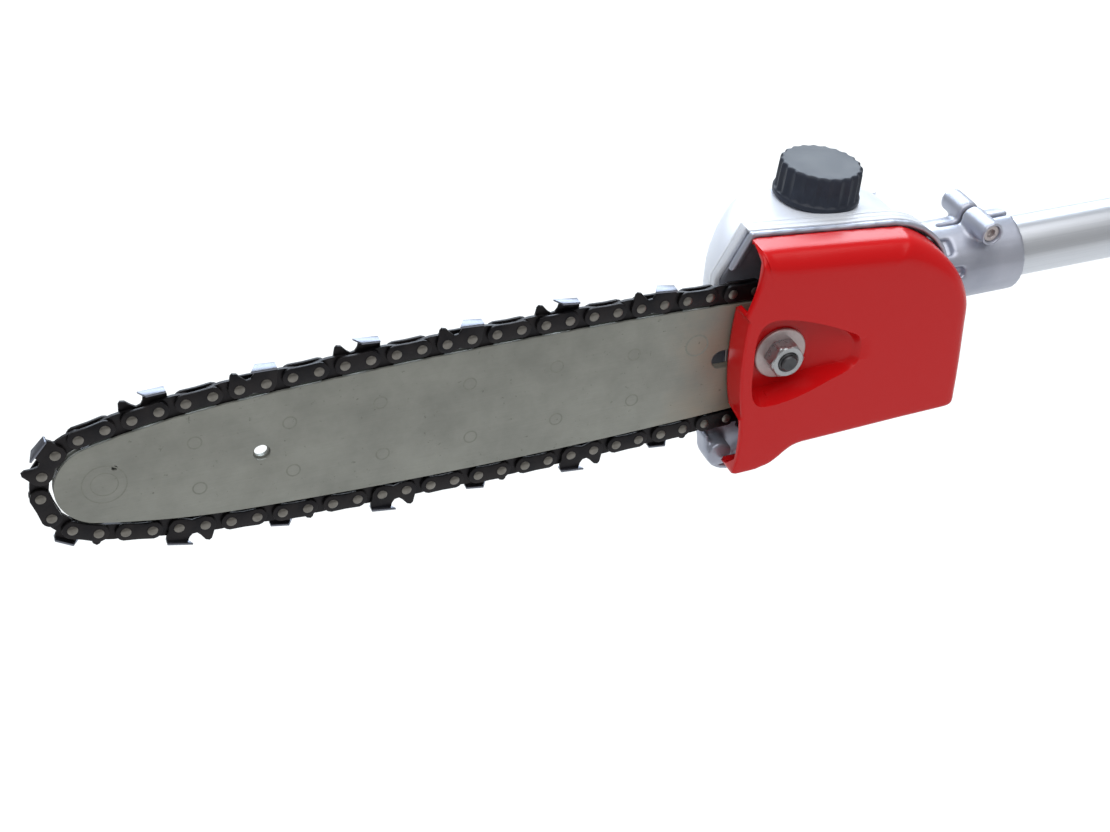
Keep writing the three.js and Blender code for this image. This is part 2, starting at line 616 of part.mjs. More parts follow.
// The tank's near wall has a skirt that closes over the set-in part of the tray.
function skirt() {
  const points = outlinePoints(TRAY);
  const { front, above, end, thick, gap } = SKIRT;
  return common(
    cut(
      slab(polygon(inset(points, gap)), [front + gap, TANK_Y[0] + TANK_WALL]),
      slab(polygon(inset(points, thick)), [0, TANK_Y[0]]),
      box(...MOUTH),
    ),
    box([230, end - gap], [0, 12], [above + gap, 60]),
  );
}

function tank() {
  const plan = tankPlan();
  const body = common(slab(polygon(tankSide()), TANK_Y), floorPlan(polygon(plan), [-20, 60]));
  const hollow = common(
    slab(polygon(inset(tankSide(), TANK_WALL)), [TANK_Y[0] + TANK_WALL, TANK_Y[1] - TANK_WALL]),
    floorPlan(polygon(inset(plan, TANK_WALL)), [-20, 60]),
  );
  const neck = onCapAxis(rod(Z, 13.4, [-1.5, 11], [0, 0], SMOOTH));
  return cut(
    join(body, neck, skirt()),
    hollow,
    onCapAxis(rod(Z, 11, [-8, 12], [0, 0], SMOOTH)),
    rod(Z, 2.2, [TANK_FLOOR - 2, TANK_FLOOR + 4], PICKUP, 16),
  );
}
head.add(named('oil_tank', tank(), finish.tankPlastic));

// ---------------------------------------------------------------- filler cap
const CAP_R = 16.9;
const CAP_RIBS = 22;

function cap() {
  const points = [];
  const perRib = 6;
  for (let i = 0; i < CAP_RIBS * perRib; i++) {
    const angle = 2 * Math.PI * i / (CAP_RIBS * perRib);
    const dip = Math.max(0, Math.cos(angle * CAP_RIBS));
    const radius = CAP_R - 0.8 * dip;
    points.push([radius * Math.cos(angle), radius * Math.sin(angle)]);
  }
  const grip = new THREE.ExtrudeGeometry(polygon(points), { depth: 11.5, bevelEnabled: false });
  return cut(
    join(grip.translate(0, 0, 3.5), rod(Z, CAP_R + 0.6, [0.8, 3.6], [0, 0], SMOOTH)),
    rod(Z, 13.9, [0, 13], [0, 0], SMOOTH),
  );
}
head.add(named('oil_cap', onCapAxis(cap()), finish.blackPlastic));
head.add(named('cap_gasket', onCapAxis(ring(Z, 13.4, 10.6, [11.3, 12.7], [0, 0], SMOOTH)), finish.rubber));

// ---------------------------------------------------------------- oil feed
const filter = cut(rod(Z, 4, [11, 23], PICKUP), rod(Z, 2.15, [10, 17], PICKUP, 16));
head.add(named('pickup_filter', filter, finish.bronze));
const oilLinePath = new THREE.CatmullRomCurve3([
  new THREE.Vector3(...PICKUP, 15), new THREE.Vector3(...PICKUP, 6), new THREE.Vector3(...PICKUP, -12),
  new THREE.Vector3(269, 23, -25), new THREE.Vector3(275, 20, -32), new THREE.Vector3(284, 20, -33),
]);
const lineSection = new THREE.Shape().absarc(0, 0, 1.9, 0, 2 * Math.PI, false);
const alongLine = { steps: 18, extrudePath: oilLinePath, curveSegments: 5 };
const oilLine = new THREE.ExtrudeGeometry(lineSection, alongLine);
head.add(named('oil_line', oilLine, finish.rubber));
const PUMP = { x0: 284.3, x1: 318, y: 20, z: -33 };
const pumpBody = cut(
  join(
    rod(X, 7.5, [PUMP.x0, PUMP.x1], [PUMP.y, PUMP.z]),
    box([PUMP.x0 + 3, PUMP.x1 - 3], [9, 20], [PUMP.z - 5, PUMP.z + 5]),
  ),
  rod(X, 4, [PUMP.x0 + 5, PUMP.x1 + 1], [PUMP.y, PUMP.z]),
);
head.add(named('oil_pump', pumpBody, finish.zinc));
const plunger = join(
  rod(X, 3.9, [PUMP.x0 + 8, PUMP.x1 + 3], [PUMP.y, PUMP.z]),
  rod(X, 6, [PUMP.x1 + 3, PUMP.x1 + 7], [PUMP.y, PUMP.z], 16),
);
head.add(named('pump_plunger', plunger, finish.darkSteel));

// ---------------------------------------------------------------- chain cover
const COVER = new THREE.Shape();
COVER.moveTo(241.4, -48.4);
COVER.lineTo(255, -48.6);
COVER.bezierCurveTo(262, -47.6, 264, -40.5, 272, -40);
COVER.lineTo(338, -37.6);
COVER.quadraticCurveTo(342.4, -37.4, 342.5, -33);
COVER.lineTo(342.8, 8);
COVER.bezierCurveTo(342, 23, 329, 38.5, 313, 44.7);
COVER.lineTo(247.6, 51.2);
COVER.bezierCurveTo(246.6, 44, 246.8, 38, 241.3, 27.5);
COVER.bezierCurveTo(240.4, 12, 240.2, -8, 242.6, -22);
COVER.lineTo(243.2, -35);
COVER.closePath();
const COVER_FACE = -15;
const COVER_WALL = 2.5;
const TONGUE = { z0: -20.5, z1: 24.3, back: -2.7 };
const WELL_FLOOR = -4.2;

function coverWell(grow) {
  const rimPoints = [[246, 21], [253, 22.5], [264, 20.5], [279, 14.5], [290, 8], [293, -0.5], [291, -5.5],
    [280, -10.5], [267, -15.5], [257, -16.5], [246, -15]];
  const floorPoints = [[249, 13.5], [256, 14.5], [266, 13], [275, 7], [276.5, 0], [275, -6], [266, -12.5],
    [256, -13.5], [249, -12]];
  const swell = ([x, z]) => [x + grow * Math.sign(x - 264), z + grow * Math.sign(z)];
  return new ConvexGeometry([
    ...rimPoints.map(swell).map(([x, z]) => new THREE.Vector3(x, COVER_FACE - (grow ? 0 : 0.5), z)),
    ...floorPoints.map(swell).map(([x, z]) => new THREE.Vector3(x, WELL_FLOOR + grow * 0.8, z)),
  ]);
}

function chainCover() {
  const points = outlinePoints(COVER);
  const hollow = slab(polygon(inset(points, COVER_WALL)), [COVER_FACE + COVER_WALL, 1]);
  const [front, behind] = [[238, 250], [COVER_FACE + COVER_WALL, 1]];
  const shell = cut(
    slab(polygon(points), [COVER_FACE, 0]),
    hollow,
    box(front, behind, [TONGUE.z1, 48.5]),
    box(front, behind, [-46.3, TONGUE.z0]),
    box(front, [TONGUE.back, 1], [TONGUE.z0 - 1, TONGUE.z1 + 1]),
  );
  return cut(
    join(shell, coverWell(2)),
    coverWell(0),
    box([240, 300], [-2.4, 1], [-28, 28]),
    rod(Y, 4.3, [-20, 0], [STUD_X, 0]),
    rod(Y, FOOT.radius + 0.5, [-4, 1], [FOOT.x, FOOT.z]),
  );
}
head.add(named('chain_cover', chainCover(), finish.redPlastic));
head.add(named('cover_washer', ring(Y, 11, 4.3, [-5.8, WELL_FLOOR], [STUD_X, 0]), finish.zinc));
const nut = cut(
  hexagon(Y, 13, [-12.3, -5.8], [STUD_X, 0]),
  rod(Y, 4.1, [-14, 0], [STUD_X, 0]),
);
head.add(named('cover_nut', nut, finish.steel));

// ---------------------------------------------------------------- inner tube
const innerTube = cut(
  rod(X, INNER_TUBE_R, [TUBE_FRONT, NOSE_TO_BUTT - 80], POLE, SMOOTH),
  rod(X, INNER_BORE_R, [TUBE_FRONT - 1, NOSE_TO_BUTT], POLE, SMOOTH),
  rod(Z, 2.6, [-20, 0], [LUG.x, POLE_BEHIND_BAR], 16),
);
head.add(named('inner_tube', innerTube, finish.tubeAluminium));

// The plastic guide in the tube's end runs in the outer tube and carries the lower drive shaft.
const tubeGuide = cut(
  join(
    rod(X, INNER_BORE_R - 0.05, [NOSE_TO_BUTT - 100, NOSE_TO_BUTT - 79], POLE, SMOOTH),
    rod(X, OUTER_BORE_R - 0.1, [NOSE_TO_BUTT - 80, NOSE_TO_BUTT - 70], POLE, SMOOTH),
  ),
  rod(X, 6, [NOSE_TO_BUTT - 110, NOSE_TO_BUTT - 60], POLE),
);
head.add(named('tube_guide', tubeGuide, finish.blackPlastic));
const upperBushing = ring(X, INNER_BORE_R - 0.05, 5.2, [500, 512], POLE, SMOOTH);
head.add(named('upper_shaft_bushing', upperBushing, finish.bronze));

// ---------------------------------------------------------------- outer tube
const OUTER_FRONT = -450;
const outerTube = cut(
  rod(X, OUTER_TUBE_R, [OUTER_FRONT, 0], [0, 0], SMOOTH),
  rod(X, OUTER_BORE_R, [OUTER_FRONT - 1, 1], [0, 0], SMOOTH),
  rod(Z, 3, [-20, 0], [-18, 0], 16),
);
pole.add(named('outer_tube', outerTube, finish.tubeAluminium));
const bushing = ring(X, OUTER_BORE_R - 0.05, 6, [-62, -46], [0, 0], SMOOTH);
pole.add(named('lower_shaft_bushing', bushing, finish.bronze));

// ---------------------------------------------------------------- clamp of the telescoping joint
// A split plastic collar grips the inner tube when the cam lever is folded down.
const CLAMP = { from: -474, to: -424, radius: 20, earX: [-470, -454], earZ: 28.5 };
const PIVOT = { x: -462, y: -17.5, z: 23, heel: 6.3, pin: 3 };
const collar = cut(
  join(
    rod(X, CLAMP.radius, [CLAMP.from, CLAMP.to], [0, 0], SMOOTH),
    box(CLAMP.earX, [-11, 11], [12, CLAMP.earZ]),
  ),
  rod(X, INNER_TUBE_R + 0.25, [CLAMP.from - 1, OUTER_FRONT + 1], [0, 0], SMOOTH),
  rod(X, OUTER_TUBE_R + 0.05, [OUTER_FRONT - 0.5, CLAMP.to + 1], [0, 0], SMOOTH),
  box([CLAMP.from - 1, -440], [-1.25, 1.25], [8, 40]),
  rod(Y, 2.6, [-30, 30], [PIVOT.x, PIVOT.z]),
);
pole.add(named('lock_collar', collar, finish.blackPlastic));

const clampBolt = join(
  rod(Y, 2.5, [PIVOT.y, 15], [PIVOT.x, PIVOT.z], 16),
  rod(Y, 4.2, [15, 18], [PIVOT.x, PIVOT.z]),
);
pole.add(named('clamp_bolt', clampBolt, finish.zinc));
const leverPin = cut(
  rod(Z, PIVOT.pin, [PIVOT.z - 5.5, PIVOT.z + 5.5], [PIVOT.x, PIVOT.y]),
  rod(Y, 2.55, [-30, 0], [PIVOT.x, PIVOT.z], 16),
);
pole.add(named('lever_pin', leverPin, finish.zinc));

// The lever's round heel turns on the pin; its two cheeks stand either side of the bolt.
const leverArm = new THREE.Shape();
leverArm.moveTo(0, -PIVOT.heel);
leverArm.lineTo(0, 2);
leverArm.quadraticCurveTo(8, -1, 20, -0.6);
leverArm.lineTo(44, -1.5);
leverArm.lineTo(45, -5);
leverArm.quadraticCurveTo(20, -5.5, 0, -PIVOT.heel);
const arm = new THREE.ExtrudeGeometry(leverArm, { depth: 11, bevelEnabled: false, curveSegments: 6 })
  .translate(PIVOT.x, PIVOT.y, PIVOT.z - 5.5);
const lever = cut(
  join(rod(Z, PIVOT.heel, [PIVOT.z - 5.5, PIVOT.z + 5.5], [PIVOT.x, PIVOT.y]), arm),
  rod(Z, PIVOT.pin + 0.15, [PIVOT.z - 8, PIVOT.z + 8], [PIVOT.x, PIVOT.y]),
  box([PIVOT.x - 10, PIVOT.x + 9], [PIVOT.y - 8, -10], [PIVOT.z - 2.9, PIVOT.z + 2.9]),
);
pole.add(named('lock_lever', lever, finish.redPlastic));

export default saw;
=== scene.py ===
import math

import bmesh
import bpy
from mathutils import Matrix, Vector


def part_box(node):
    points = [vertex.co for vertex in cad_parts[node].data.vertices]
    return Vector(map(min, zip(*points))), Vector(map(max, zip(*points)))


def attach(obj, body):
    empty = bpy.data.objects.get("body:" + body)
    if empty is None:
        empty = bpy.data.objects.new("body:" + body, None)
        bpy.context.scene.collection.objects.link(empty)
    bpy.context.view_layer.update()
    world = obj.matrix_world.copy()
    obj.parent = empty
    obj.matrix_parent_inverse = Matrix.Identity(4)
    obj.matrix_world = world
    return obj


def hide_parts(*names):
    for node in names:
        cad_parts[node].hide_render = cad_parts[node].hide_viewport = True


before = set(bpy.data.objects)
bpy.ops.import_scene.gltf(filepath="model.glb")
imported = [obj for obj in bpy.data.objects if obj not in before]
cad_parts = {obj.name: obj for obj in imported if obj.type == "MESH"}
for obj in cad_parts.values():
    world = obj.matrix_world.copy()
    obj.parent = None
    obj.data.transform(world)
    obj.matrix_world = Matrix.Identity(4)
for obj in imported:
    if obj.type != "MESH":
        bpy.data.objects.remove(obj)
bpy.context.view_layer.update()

# ------------------------------------------------------------------ studio
# The saw is looked at from the side of its bar and from above, against a plain pale floor.
# One big soft light hangs over it, as an overcast sky does, with a bluish one high behind it.
view_azimuth, view_elevation, view_roll = (math.radians(a) for a in (-22.095, 35.269, 1.53))
camera_place = Vector((-1.0009, -0.5575, 0.3852))

towards_camera = Vector((
    math.sin(view_azimuth) * math.cos(view_elevation),
    -math.cos(view_azimuth) * math.cos(view_elevation),
    math.sin(view_elevation),
))
level_right = Vector((math.cos(view_azimuth), math.sin(view_azimuth), 0))
level_up = towards_camera.cross(level_right)
right = level_right * math.cos(view_roll) + level_up * math.sin(view_roll)
up = level_up * math.cos(view_roll) - level_right * math.sin(view_roll)

camera = bpy.data.objects.new("camera", bpy.data.cameras.new("camera"))
camera.data.lens = 58.38
camera.data.sensor_width = 36
camera.data.clip_start = 0.01
turn = Matrix((right, up, towards_camera)).transposed().to_4x4()
camera.matrix_world = Matrix.Translation(camera_place) @ turn
bpy.context.scene.collection.objects.link(camera)
bpy.context.scene.camera = camera


def soft_light(name, place, target, size, watts, colour):
    light = bpy.data.lights.new(name, "AREA")
    light.shape = "RECTANGLE"
    light.size, light.size_y = size
    light.energy = watts
    light.color = colour
    lamp = bpy.data.objects.new(name, light)
    direction = (Vector(place) - Vector(target)).to_track_quat("Z", "Y")
    lamp.matrix_world = Matrix.Translation(place) @ direction.to_matrix().to_4x4()
    bpy.context.scene.collection.objects.link(lamp)


soft_light("overhead_light", (-1.0, -0.9, 2.7), (-0.8, -0.3, 0), (4.5, 3.6), 112, (1.0, 0.99, 0.975))
soft_light("back_light", (0.2, 3.6, 2.3), (-0.7, 0, 0.1), (5.0, 2.8), 300, (0.8, 0.9, 1.0))

world = bpy.data.worlds.new("room")
bpy.context.scene.world = world
world.use_nodes = True
world.node_tree.nodes["Background"].inputs["Color"].default_value = (1.0, 0.99, 0.97, 1)
world.node_tree.nodes["Background"].inputs["Strength"].default_value = 0.3
bpy.context.scene.view_settings.view_transform = "Standard"


def linear(code):
    """An sRGB hex colour as Blender's linear colour."""
    parts = [int(code[i:i + 2], 16) / 255 for i in (1, 3, 5)]
    return [c / 12.92 if c <= 0.04045 else ((c + 0.055) / 1.055) ** 2.4 for c in parts] + [1]


def node(tree, kind, links=None, **settings):
    """One shader node, with its settings, and its inputs as values or as other nodes' outputs."""
    made = tree.nodes.new(kind)
    for key, value in settings.items():
        setattr(made, key, value)
    for socket, value in (links or {}).items():
        if isinstance(value, bpy.types.NodeSocket):
            tree.links.new(value, made.inputs[socket])
        else:
            made.inputs[socket].default_value = value
    return made


def new_material(name, **values):
    """A material with one Principled shader, whose constant sockets are set here."""
    material = bpy.data.materials.new(name)
    material.use_nodes = True
    shader = material.node_tree.nodes["Principled BSDF"]
    for socket, value in values.items():
        shader.inputs[socket.replace("_", " ")].default_value = value
    return material, material.node_tree, shader


# Painted floor: matt, pale.
floor_paint, _, _ = new_material("floor_paint", Base_Color=linear("#dddbd8"), Roughness=0.95)
floor_mesh = bmesh.new()
bmesh.ops.create_grid(floor_mesh, x_segments=1, y_segments=1, size=9)
bmesh.ops.translate(floor_mesh, verts=floor_mesh.verts, vec=(-0.6, 0, -0.62))
floor_data = bpy.data.meshes.new("floor")
floor_mesh.to_mesh(floor_data)
floor_data.materials.append(floor_paint)
floor = bpy.data.objects.new("floor", floor_data)
bpy.context.scene.collection.objects.link(floor)

# ------------------------------------------------------------------ guide bar
# Three ground steel plates spot-welded together, painted a dull grey-green; the core is set back,
# so the outer plates make the groove of the chain. Oil and sawdust have stained it near the cover.
# Lengths below are millimetres from the centre of the bar's nose.
race_low, race_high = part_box("nose_race")
nose = (race_low + race_high) / 2
shaft_low, shaft_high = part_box("output_shaft")
stud_low, stud_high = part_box("bar_stud")
sprocket_x = ((shaft_low + shaft_high) / 2 - nose).x * 1000
stud_x = ((stud_low + stud_high) / 2 - nose).x * 1000
on_head = Matrix.Translation(nose) @ Matrix.Scale(0.001, 4)
on_pole = Matrix.Scale(0.001, 4)

rivet_pitch = 9.525
rivet_count = 78
nose_radius = 21.15
shoulder_radius, flank_radius = 312, 1908
shoulder_from, shoulder_to = math.radians(13.2), math.radians(3.1)
rail_end = 266.1
rail_depth = 4.65
sprocket_radius = rivet_pitch / (2 * math.sin(math.pi / 14))
half_loop = rivet_pitch * rivet_count / 2


def arc_run(x, z, radius, start, end):
    """One stretch of the chain's path: its length, and a function from length to place and slope."""
    def at(s):
        slope = start - s / radius
        return (x + radius * (math.sin(start) - math.sin(slope)),
                z + radius * (math.cos(slope) - math.cos(start)), slope)
    return radius * (start - end), at


def chain_runs():
    nose_arc = arc_run(-nose_radius, 0, nose_radius, math.pi / 2, shoulder_from)
    shoulder = arc_run(*nose_arc[1](nose_arc[0])[:2], shoulder_radius, shoulder_from, shoulder_to)
    x, z, _ = shoulder[1](shoulder[0])
    peak = x + flank_radius * math.sin(shoulder_to)
    flank = arc_run(x, z, flank_radius, shoulder_to, -math.asin((rail_end - peak) / flank_radius))
    x, z, _ = flank[1](flank[0])
    reach = math.hypot(sprocket_x - x, z)
    fall = math.asin(z / reach) - math.asin(sprocket_radius / reach)
    length = math.sqrt(reach ** 2 - sprocket_radius ** 2)
    straight = (length, lambda s: (x + s * math.cos(fall), z - s * math.sin(fall), -fall))
    around = arc_run(*straight[1](length)[:2], sprocket_radius, -fall, -math.pi / 2)
    return [nose_arc, shoulder, flank, straight, around]


runs = chain_runs()


def on_chain(distance, out=0.0):
    """The place (x, z) at a distance from the nose tip, moved outwards, and the unit vector out."""
    wrapped = distance % (2 * half_loop)
    side = 1 if wrapped <= half_loop else -1
    left = wrapped if side > 0 else 2 * half_loop - wrapped
    for length, at in runs:
        if left <= length:
            break
        left -= length
    else:
        left = length
    x, z, slope = at(left)
    outward = Vector((-math.sin(slope), side * math.cos(slope)))
    return Vector((x, side * z)) + outward * out, outward


def circle(x, z, radius, count=24):
    steps = (2 * math.pi * i / count for i in range(count))
    return [(x + radius * math.cos(a), z + radius * math.sin(a)) for a in steps]


def plate(outline, holes, y_low, y_high, chamfer=0.0):
    """A flat plate in the XZ plane with holes, its outer edges bevelled."""
    bm = bmesh.new()
    for loop in [outline, *holes]:
        ring = [bm.verts.new((x, y_low, z)) for x, z in loop]
        for i, vertex in enumerate(ring):
            bm.edges.new((vertex, ring[i - 1]))
    bmesh.ops.triangle_fill(bm, edges=bm.edges, use_beauty=True, normal=(0, 1, 0))
    grown = bmesh.ops.extrude_face_region(bm, geom=bm.faces[:] + bm.edges[:], use_keep_orig=True)
    moved = [g for g in grown["geom"] if isinstance(g, bmesh.types.BMVert)]
    bmesh.ops.translate(bm, verts=moved, vec=(0, y_high - y_low, 0))
    bmesh.ops.recalc_face_normals(bm, faces=bm.faces)
    if chamfer:
        rims = [e for e in bm.edges if len(e.link_faces) == 2 and e.calc_face_angle() > 1.2]
        bmesh.ops.bevel(bm, geom=rims, offset=chamfer, offset_type="OFFSET", segments=2, profile=0.5,
                        affect="EDGES", clamp_overlap=True, material=-1)
    return bm


def gather(*meshes):
    """Several meshes as the islands of one."""
    whole = bmesh.new()
    carrier = bpy.data.meshes.new("carrier")
    for bm in meshes:
        bm.to_mesh(carrier)
        whole.from_mesh(carrier)
        bm.free()
    bpy.data.meshes.remove(carrier)
    return whole


def piece(name, bm, place, body, look, stands_for=(), sharp=35):
    """A finished mesh in metres, smooth but for its sharp edges, riding on its body."""
    bmesh.ops.transform(bm, verts=bm.verts, matrix=place)
    bmesh.ops.recalc_face_normals(bm, faces=bm.faces)
    for face in bm.faces:
        face.smooth = True
    for edge in bm.edges:
        edge.smooth = not (len(edge.link_faces) == 2 and edge.calc_face_angle() > math.radians(sharp))
    mesh = bpy.data.meshes.new(name)
    bm.to_mesh(mesh)
    bm.free()
    mesh.materials.append(look)
    made = bpy.data.objects.new(name, mesh)
    bpy.context.scene.collection.objects.link(made)
    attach(made, body)
    if stands_for:
        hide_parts(*stands_for)
    return made


def bar_outline():
    top, s = [], 0.0
    while on_chain(s)[0].x < 265:
        top.append(tuple(on_chain(s, -rail_depth)[0]))
        s += 2.2 if s < 60 else 6
    top += [(267, 22.4), (274, 16), (277.4, 10.5), (278, 8)]
    return top + [(x, -z) for x, z in reversed(top[1:])]


slot_front, slot_back, slot_half = stud_x - 24, stud_x + 8, 4.15
stud_slot = [(slot_front + slot_half * math.cos(a), slot_half * math.sin(a))
             for a in (math.radians(90 + 15 * i) for i in range(13))]
stud_slot += [(slot_back + slot_half * math.cos(a), slot_half * math.sin(a))
              for a in (math.radians(-90 + 15 * i) for i in range(13))]
bar_holes = [stud_slot, circle(56.7, 0, 3.2)]
bar_holes += [circle(254, side * 13, 3.2) for side in (-1, 1)]
bar_holes += [circle(249, side * 16.5, 1.6, 16) for side in (-1, 1)]

# Painted steel: grey-green, dull, with fine grinding lines along the bar and brown oil stains.
bar_paint, tree, shader = new_material("bar_painted_steel", Metallic=0.35, Roughness=0.5)
coords = node(tree, "ShaderNodeTexCoord").outputs["Object"]
stretched = node(tree, "ShaderNodeMapping", {"Vector": coords, "Scale": (60, 900, 2600)})
grinding = node(tree, "ShaderNodeTexNoise", {"Vector": stretched.outputs[0], "Scale": 1, "Detail": 4})
patches = node(tree, "ShaderNodeTexNoise", {
    "Vector": coords, "Scale": 38, "Detail": 6, "Roughness": 0.65})
specks = node(tree, "ShaderNodeTexNoise", {
    "Vector": coords, "Scale": 420, "Detail": 3, "Roughness": 0.7})
along = node(tree, "ShaderNodeSeparateXYZ", {"Vector": coords})
near_cover = node(tree, "ShaderNodeMapRange", {
    "Value": along.outputs["X"], "From Min": nose.x + 0.19, "From Max": nose.x + 0.243,
    "To Min": 0.0, "To Max": 0.62})
wet = node(tree, "ShaderNodeMath", {
    0: patches.outputs["Fac"], 1: near_cover.outputs[0]}, operation="MULTIPLY")
stain = node(tree, "ShaderNodeMapRange", {
    "Value": wet.outputs[0], "From Min": 0.16, "From Max": 0.42, "To Min": 0.0, "To Max": 0.75})
paint = node(tree, "ShaderNodeValToRGB", {"Fac": patches.outputs["Fac"]})
paint.color_ramp.elements[0].position, paint.color_ramp.elements[1].position = 0.3, 0.75
paint.color_ramp.elements[0].color = linear("#7c7e79")
paint.color_ramp.elements[1].color = linear("#93958f")
stained = node(tree, "ShaderNodeMix", {
    "Factor": stain.outputs[0], 6: paint.outputs[0], 7: linear("#8d7a64")}, data_type="RGBA")
dirt = node(tree, "ShaderNodeMapRange", {
    "Value": specks.outputs["Fac"], "From Min": 0.66, "From Max": 0.74, "To Min": 0.0, "To Max": 0.6})
dirty = node(tree, "ShaderNodeMix", {
    "Factor": dirt.outputs[0], 6: stained.outputs[2], 7: linear("#4e4d48")}, data_type="RGBA")
tree.links.new(dirty.outputs[2], shader.inputs["Base Color"])
rough = node(tree, "ShaderNodeMapRange", {
    "Value": grinding.outputs["Fac"], "From Min": 0.3, "From Max": 0.7, "To Min": 0.42, "To Max": 0.6})
tree.links.new(rough.outputs[0], shader.inputs["Roughness"])
bump = node(tree, "ShaderNodeBump", {
    "Height": grinding.outputs["Fac"], "Strength": 0.12, "Distance": 0.0002})
tree.links.new(bump.outputs[0], shader.inputs["Normal"])

for name, low, high in (("near", -2.1, -0.65), ("far", 0.65, 2.1)):
    skin = plate(bar_outline(), [*bar_holes, circle(5, 6, 1, 16)], low, high, 0.3)
    piece(f"bar_skin_{name}", skin, on_head, "bar", bar_paint, [f"bar_plate_{name}"])

# Around the spot welds, rings darker than the paint lie almost flush on the plates: painted shade for the rim
# of each shallow weld dimple; the nose sprocket's rivets get the same painted shade.
weld_painted_shade, tree, shader = new_material("spot_weld_painted_shade", Metallic=0.4, Roughness=0.42)
coords = node(tree, "ShaderNodeTexCoord").outputs["Object"]
mottle = node(tree, "ShaderNodeTexNoise", {"Vector": coords, "Scale": 700, "Detail": 3})
shade_ramp = node(tree, "ShaderNodeValToRGB", {"Fac": mottle.outputs["Fac"]})
# Both colours are darker than the bar's paint: painted shade for the dimples' rims.
shade_ramp.color_ramp.elements[0].color = linear("#6a6c66")
shade_ramp.color_ramp.elements[1].color = linear("#868881")
tree.links.new(shade_ramp.outputs[0], shader.inputs["Base Color"])


def revolve(profile, segments=32):
    """A ring about the Y axis: its section's points are (radius, y), closed on themselves."""
    bm = bmesh.new()
    ring = [bm.verts.new((r, y, 0)) for r, y in profile]
    edges = [bm.edges.new((vertex, ring[i - 1])) for i, vertex in enumerate(ring)]
    bmesh.ops.spin(bm, geom=ring + edges, cent=(0, 0, 0), axis=(0, 1, 0), angle=2 * math.pi,
                   steps=segments, use_merge=True)
    bmesh.ops.remove_doubles(bm, verts=bm.verts, dist=1e-5)
    return bm


def moved(bm, x=0.0, y=0.0, z=0.0):
    bmesh.ops.translate(bm, verts=bm.verts, vec=(x, y, z))
    return bm


# Thin rings, 0.025 mm proud of the skin, that carry the painted shade: around the spot welds, around the nose
# sprocket's rivets and around one more spot near the cover.
shade_rings = []
weld_places = ((33.4, 10), (67.6, 10.6), (101.3, 11.5), (135.5, 12), (169.9, 12), (201.3, 10.5))
for face in (-1, 1):
    for x, z in [(x, half * z) for x, z in weld_places for half in (-1, 1)]:
        section = [(2.1, face * 2.0), (2.2, face * 2.125), (2.75, face * 2.125), (2.85, face * 2.0)]
        shade_rings.append(moved(revolve(section, 28), x, 0, z))
    for radius, width in ((7.6, 0.5), (4.6, 0.35)):
        section = [(radius, face * 2.0), (radius, face * 2.12), (radius + width, face * 2.12),
                   (radius + width, face * 2.0)]
        shade_rings.append(moved(revolve(section, 40), 0.8, 0, 0))
    section = [(4.2, face * 2.0), (4.2, face * 2.13), (4.9, face * 2.13), (4.9, face * 2.0)]
    shade_rings.append(moved(revolve(section, 32), 227.6, 0, 9))
piece("bar_weld_painted_shade_rings", gather(*shade_rings), on_head, "bar", weld_painted_shade)

# ------------------------------------------------------------------ saw chain
# Low-profile chain of blued steel: drive links run in the groove, pairs of side links join them, and
# every second pair carries a cutter with a chromed top plate, alternately left and right.
blued_steel, tree, shader = new_material("blued_steel", Metallic=0.75, Roughness=0.38)
coords = node(tree, "ShaderNodeTexCoord").outputs["Object"]
oil = node(tree, "ShaderNodeTexNoise", {"Vector": coords, "Scale": 160, "Detail": 5, "Roughness": 0.6})
blue = node(tree, "ShaderNodeValToRGB", {"Fac": oil.outputs["Fac"]})
blue.color_ramp.elements[0].position, blue.color_ramp.elements[1].position = 0.35, 0.8
blue.color_ramp.elements[0].color = linear("#17171b")
blue.color_ramp.elements[1].color = linear("#2e2b2c")
tree.links.new(blue.outputs[0], shader.inputs["Base Color"])
sheen = node(tree, "ShaderNodeMapRange", {
    "Value": oil.outputs["Fac"], "From Min": 0.3, "From Max": 0.7, "To Min": 0.28, "To Max": 0.55})
tree.links.new(sheen.outputs[0], shader.inputs["Roughness"])

# Peened rivet ends are bare steel, worn bright on top.
rivet_steel, tree, shader = new_material("peened_steel", Metallic=0.9, Roughness=0.35)
coords = node(tree, "ShaderNodeTexCoord").outputs["Object"]
wear = node(tree, "ShaderNodeTexNoise", {"Vector": coords, "Scale": 300, "Detail": 3})
bare = node(tree, "ShaderNodeValToRGB", {"Fac": wear.outputs["Fac"]})
bare.color_ramp.elements[0].color = linear("#55534f")
bare.color_ramp.elements[1].color = linear("#8a8782")
tree.links.new(bare.outputs[0], shader.inputs["Base Color"])

# Hard chrome on the cutters: bright, slightly blue, with fine grinding scratches.
hard_chrome, tree, shader = new_material("hard_chrome", Metallic=1.0, Roughness=0.2)
coords = node(tree, "ShaderNodeTexCoord").outputs["Object"]
scratch = node(tree, "ShaderNodeTexNoise", {"Vector": coords, "Scale": 900, "Detail": 4})
bright = node(tree, "ShaderNodeValToRGB", {"Fac": scratch.outputs["Fac"]})
bright.color_ramp.elements[0].color = linear("#666973")
bright.color_ramp.elements[1].color = linear("#7f828d")
tree.links.new(bright.outputs[0], shader.inputs["Base Color"])
lines = node(tree, "ShaderNodeMapRange", {"Value": scratch.outputs["Fac"], "To Min": 0.28, "To Max": 0.46})
tree.links.new(lines.outputs[0], shader.inputs["Roughness"])

first_rivet = 265.7
strap_in, strap_out = 0.78, 2.0        # a side link's faces, from the bar's middle plane
link_radius = 3.75


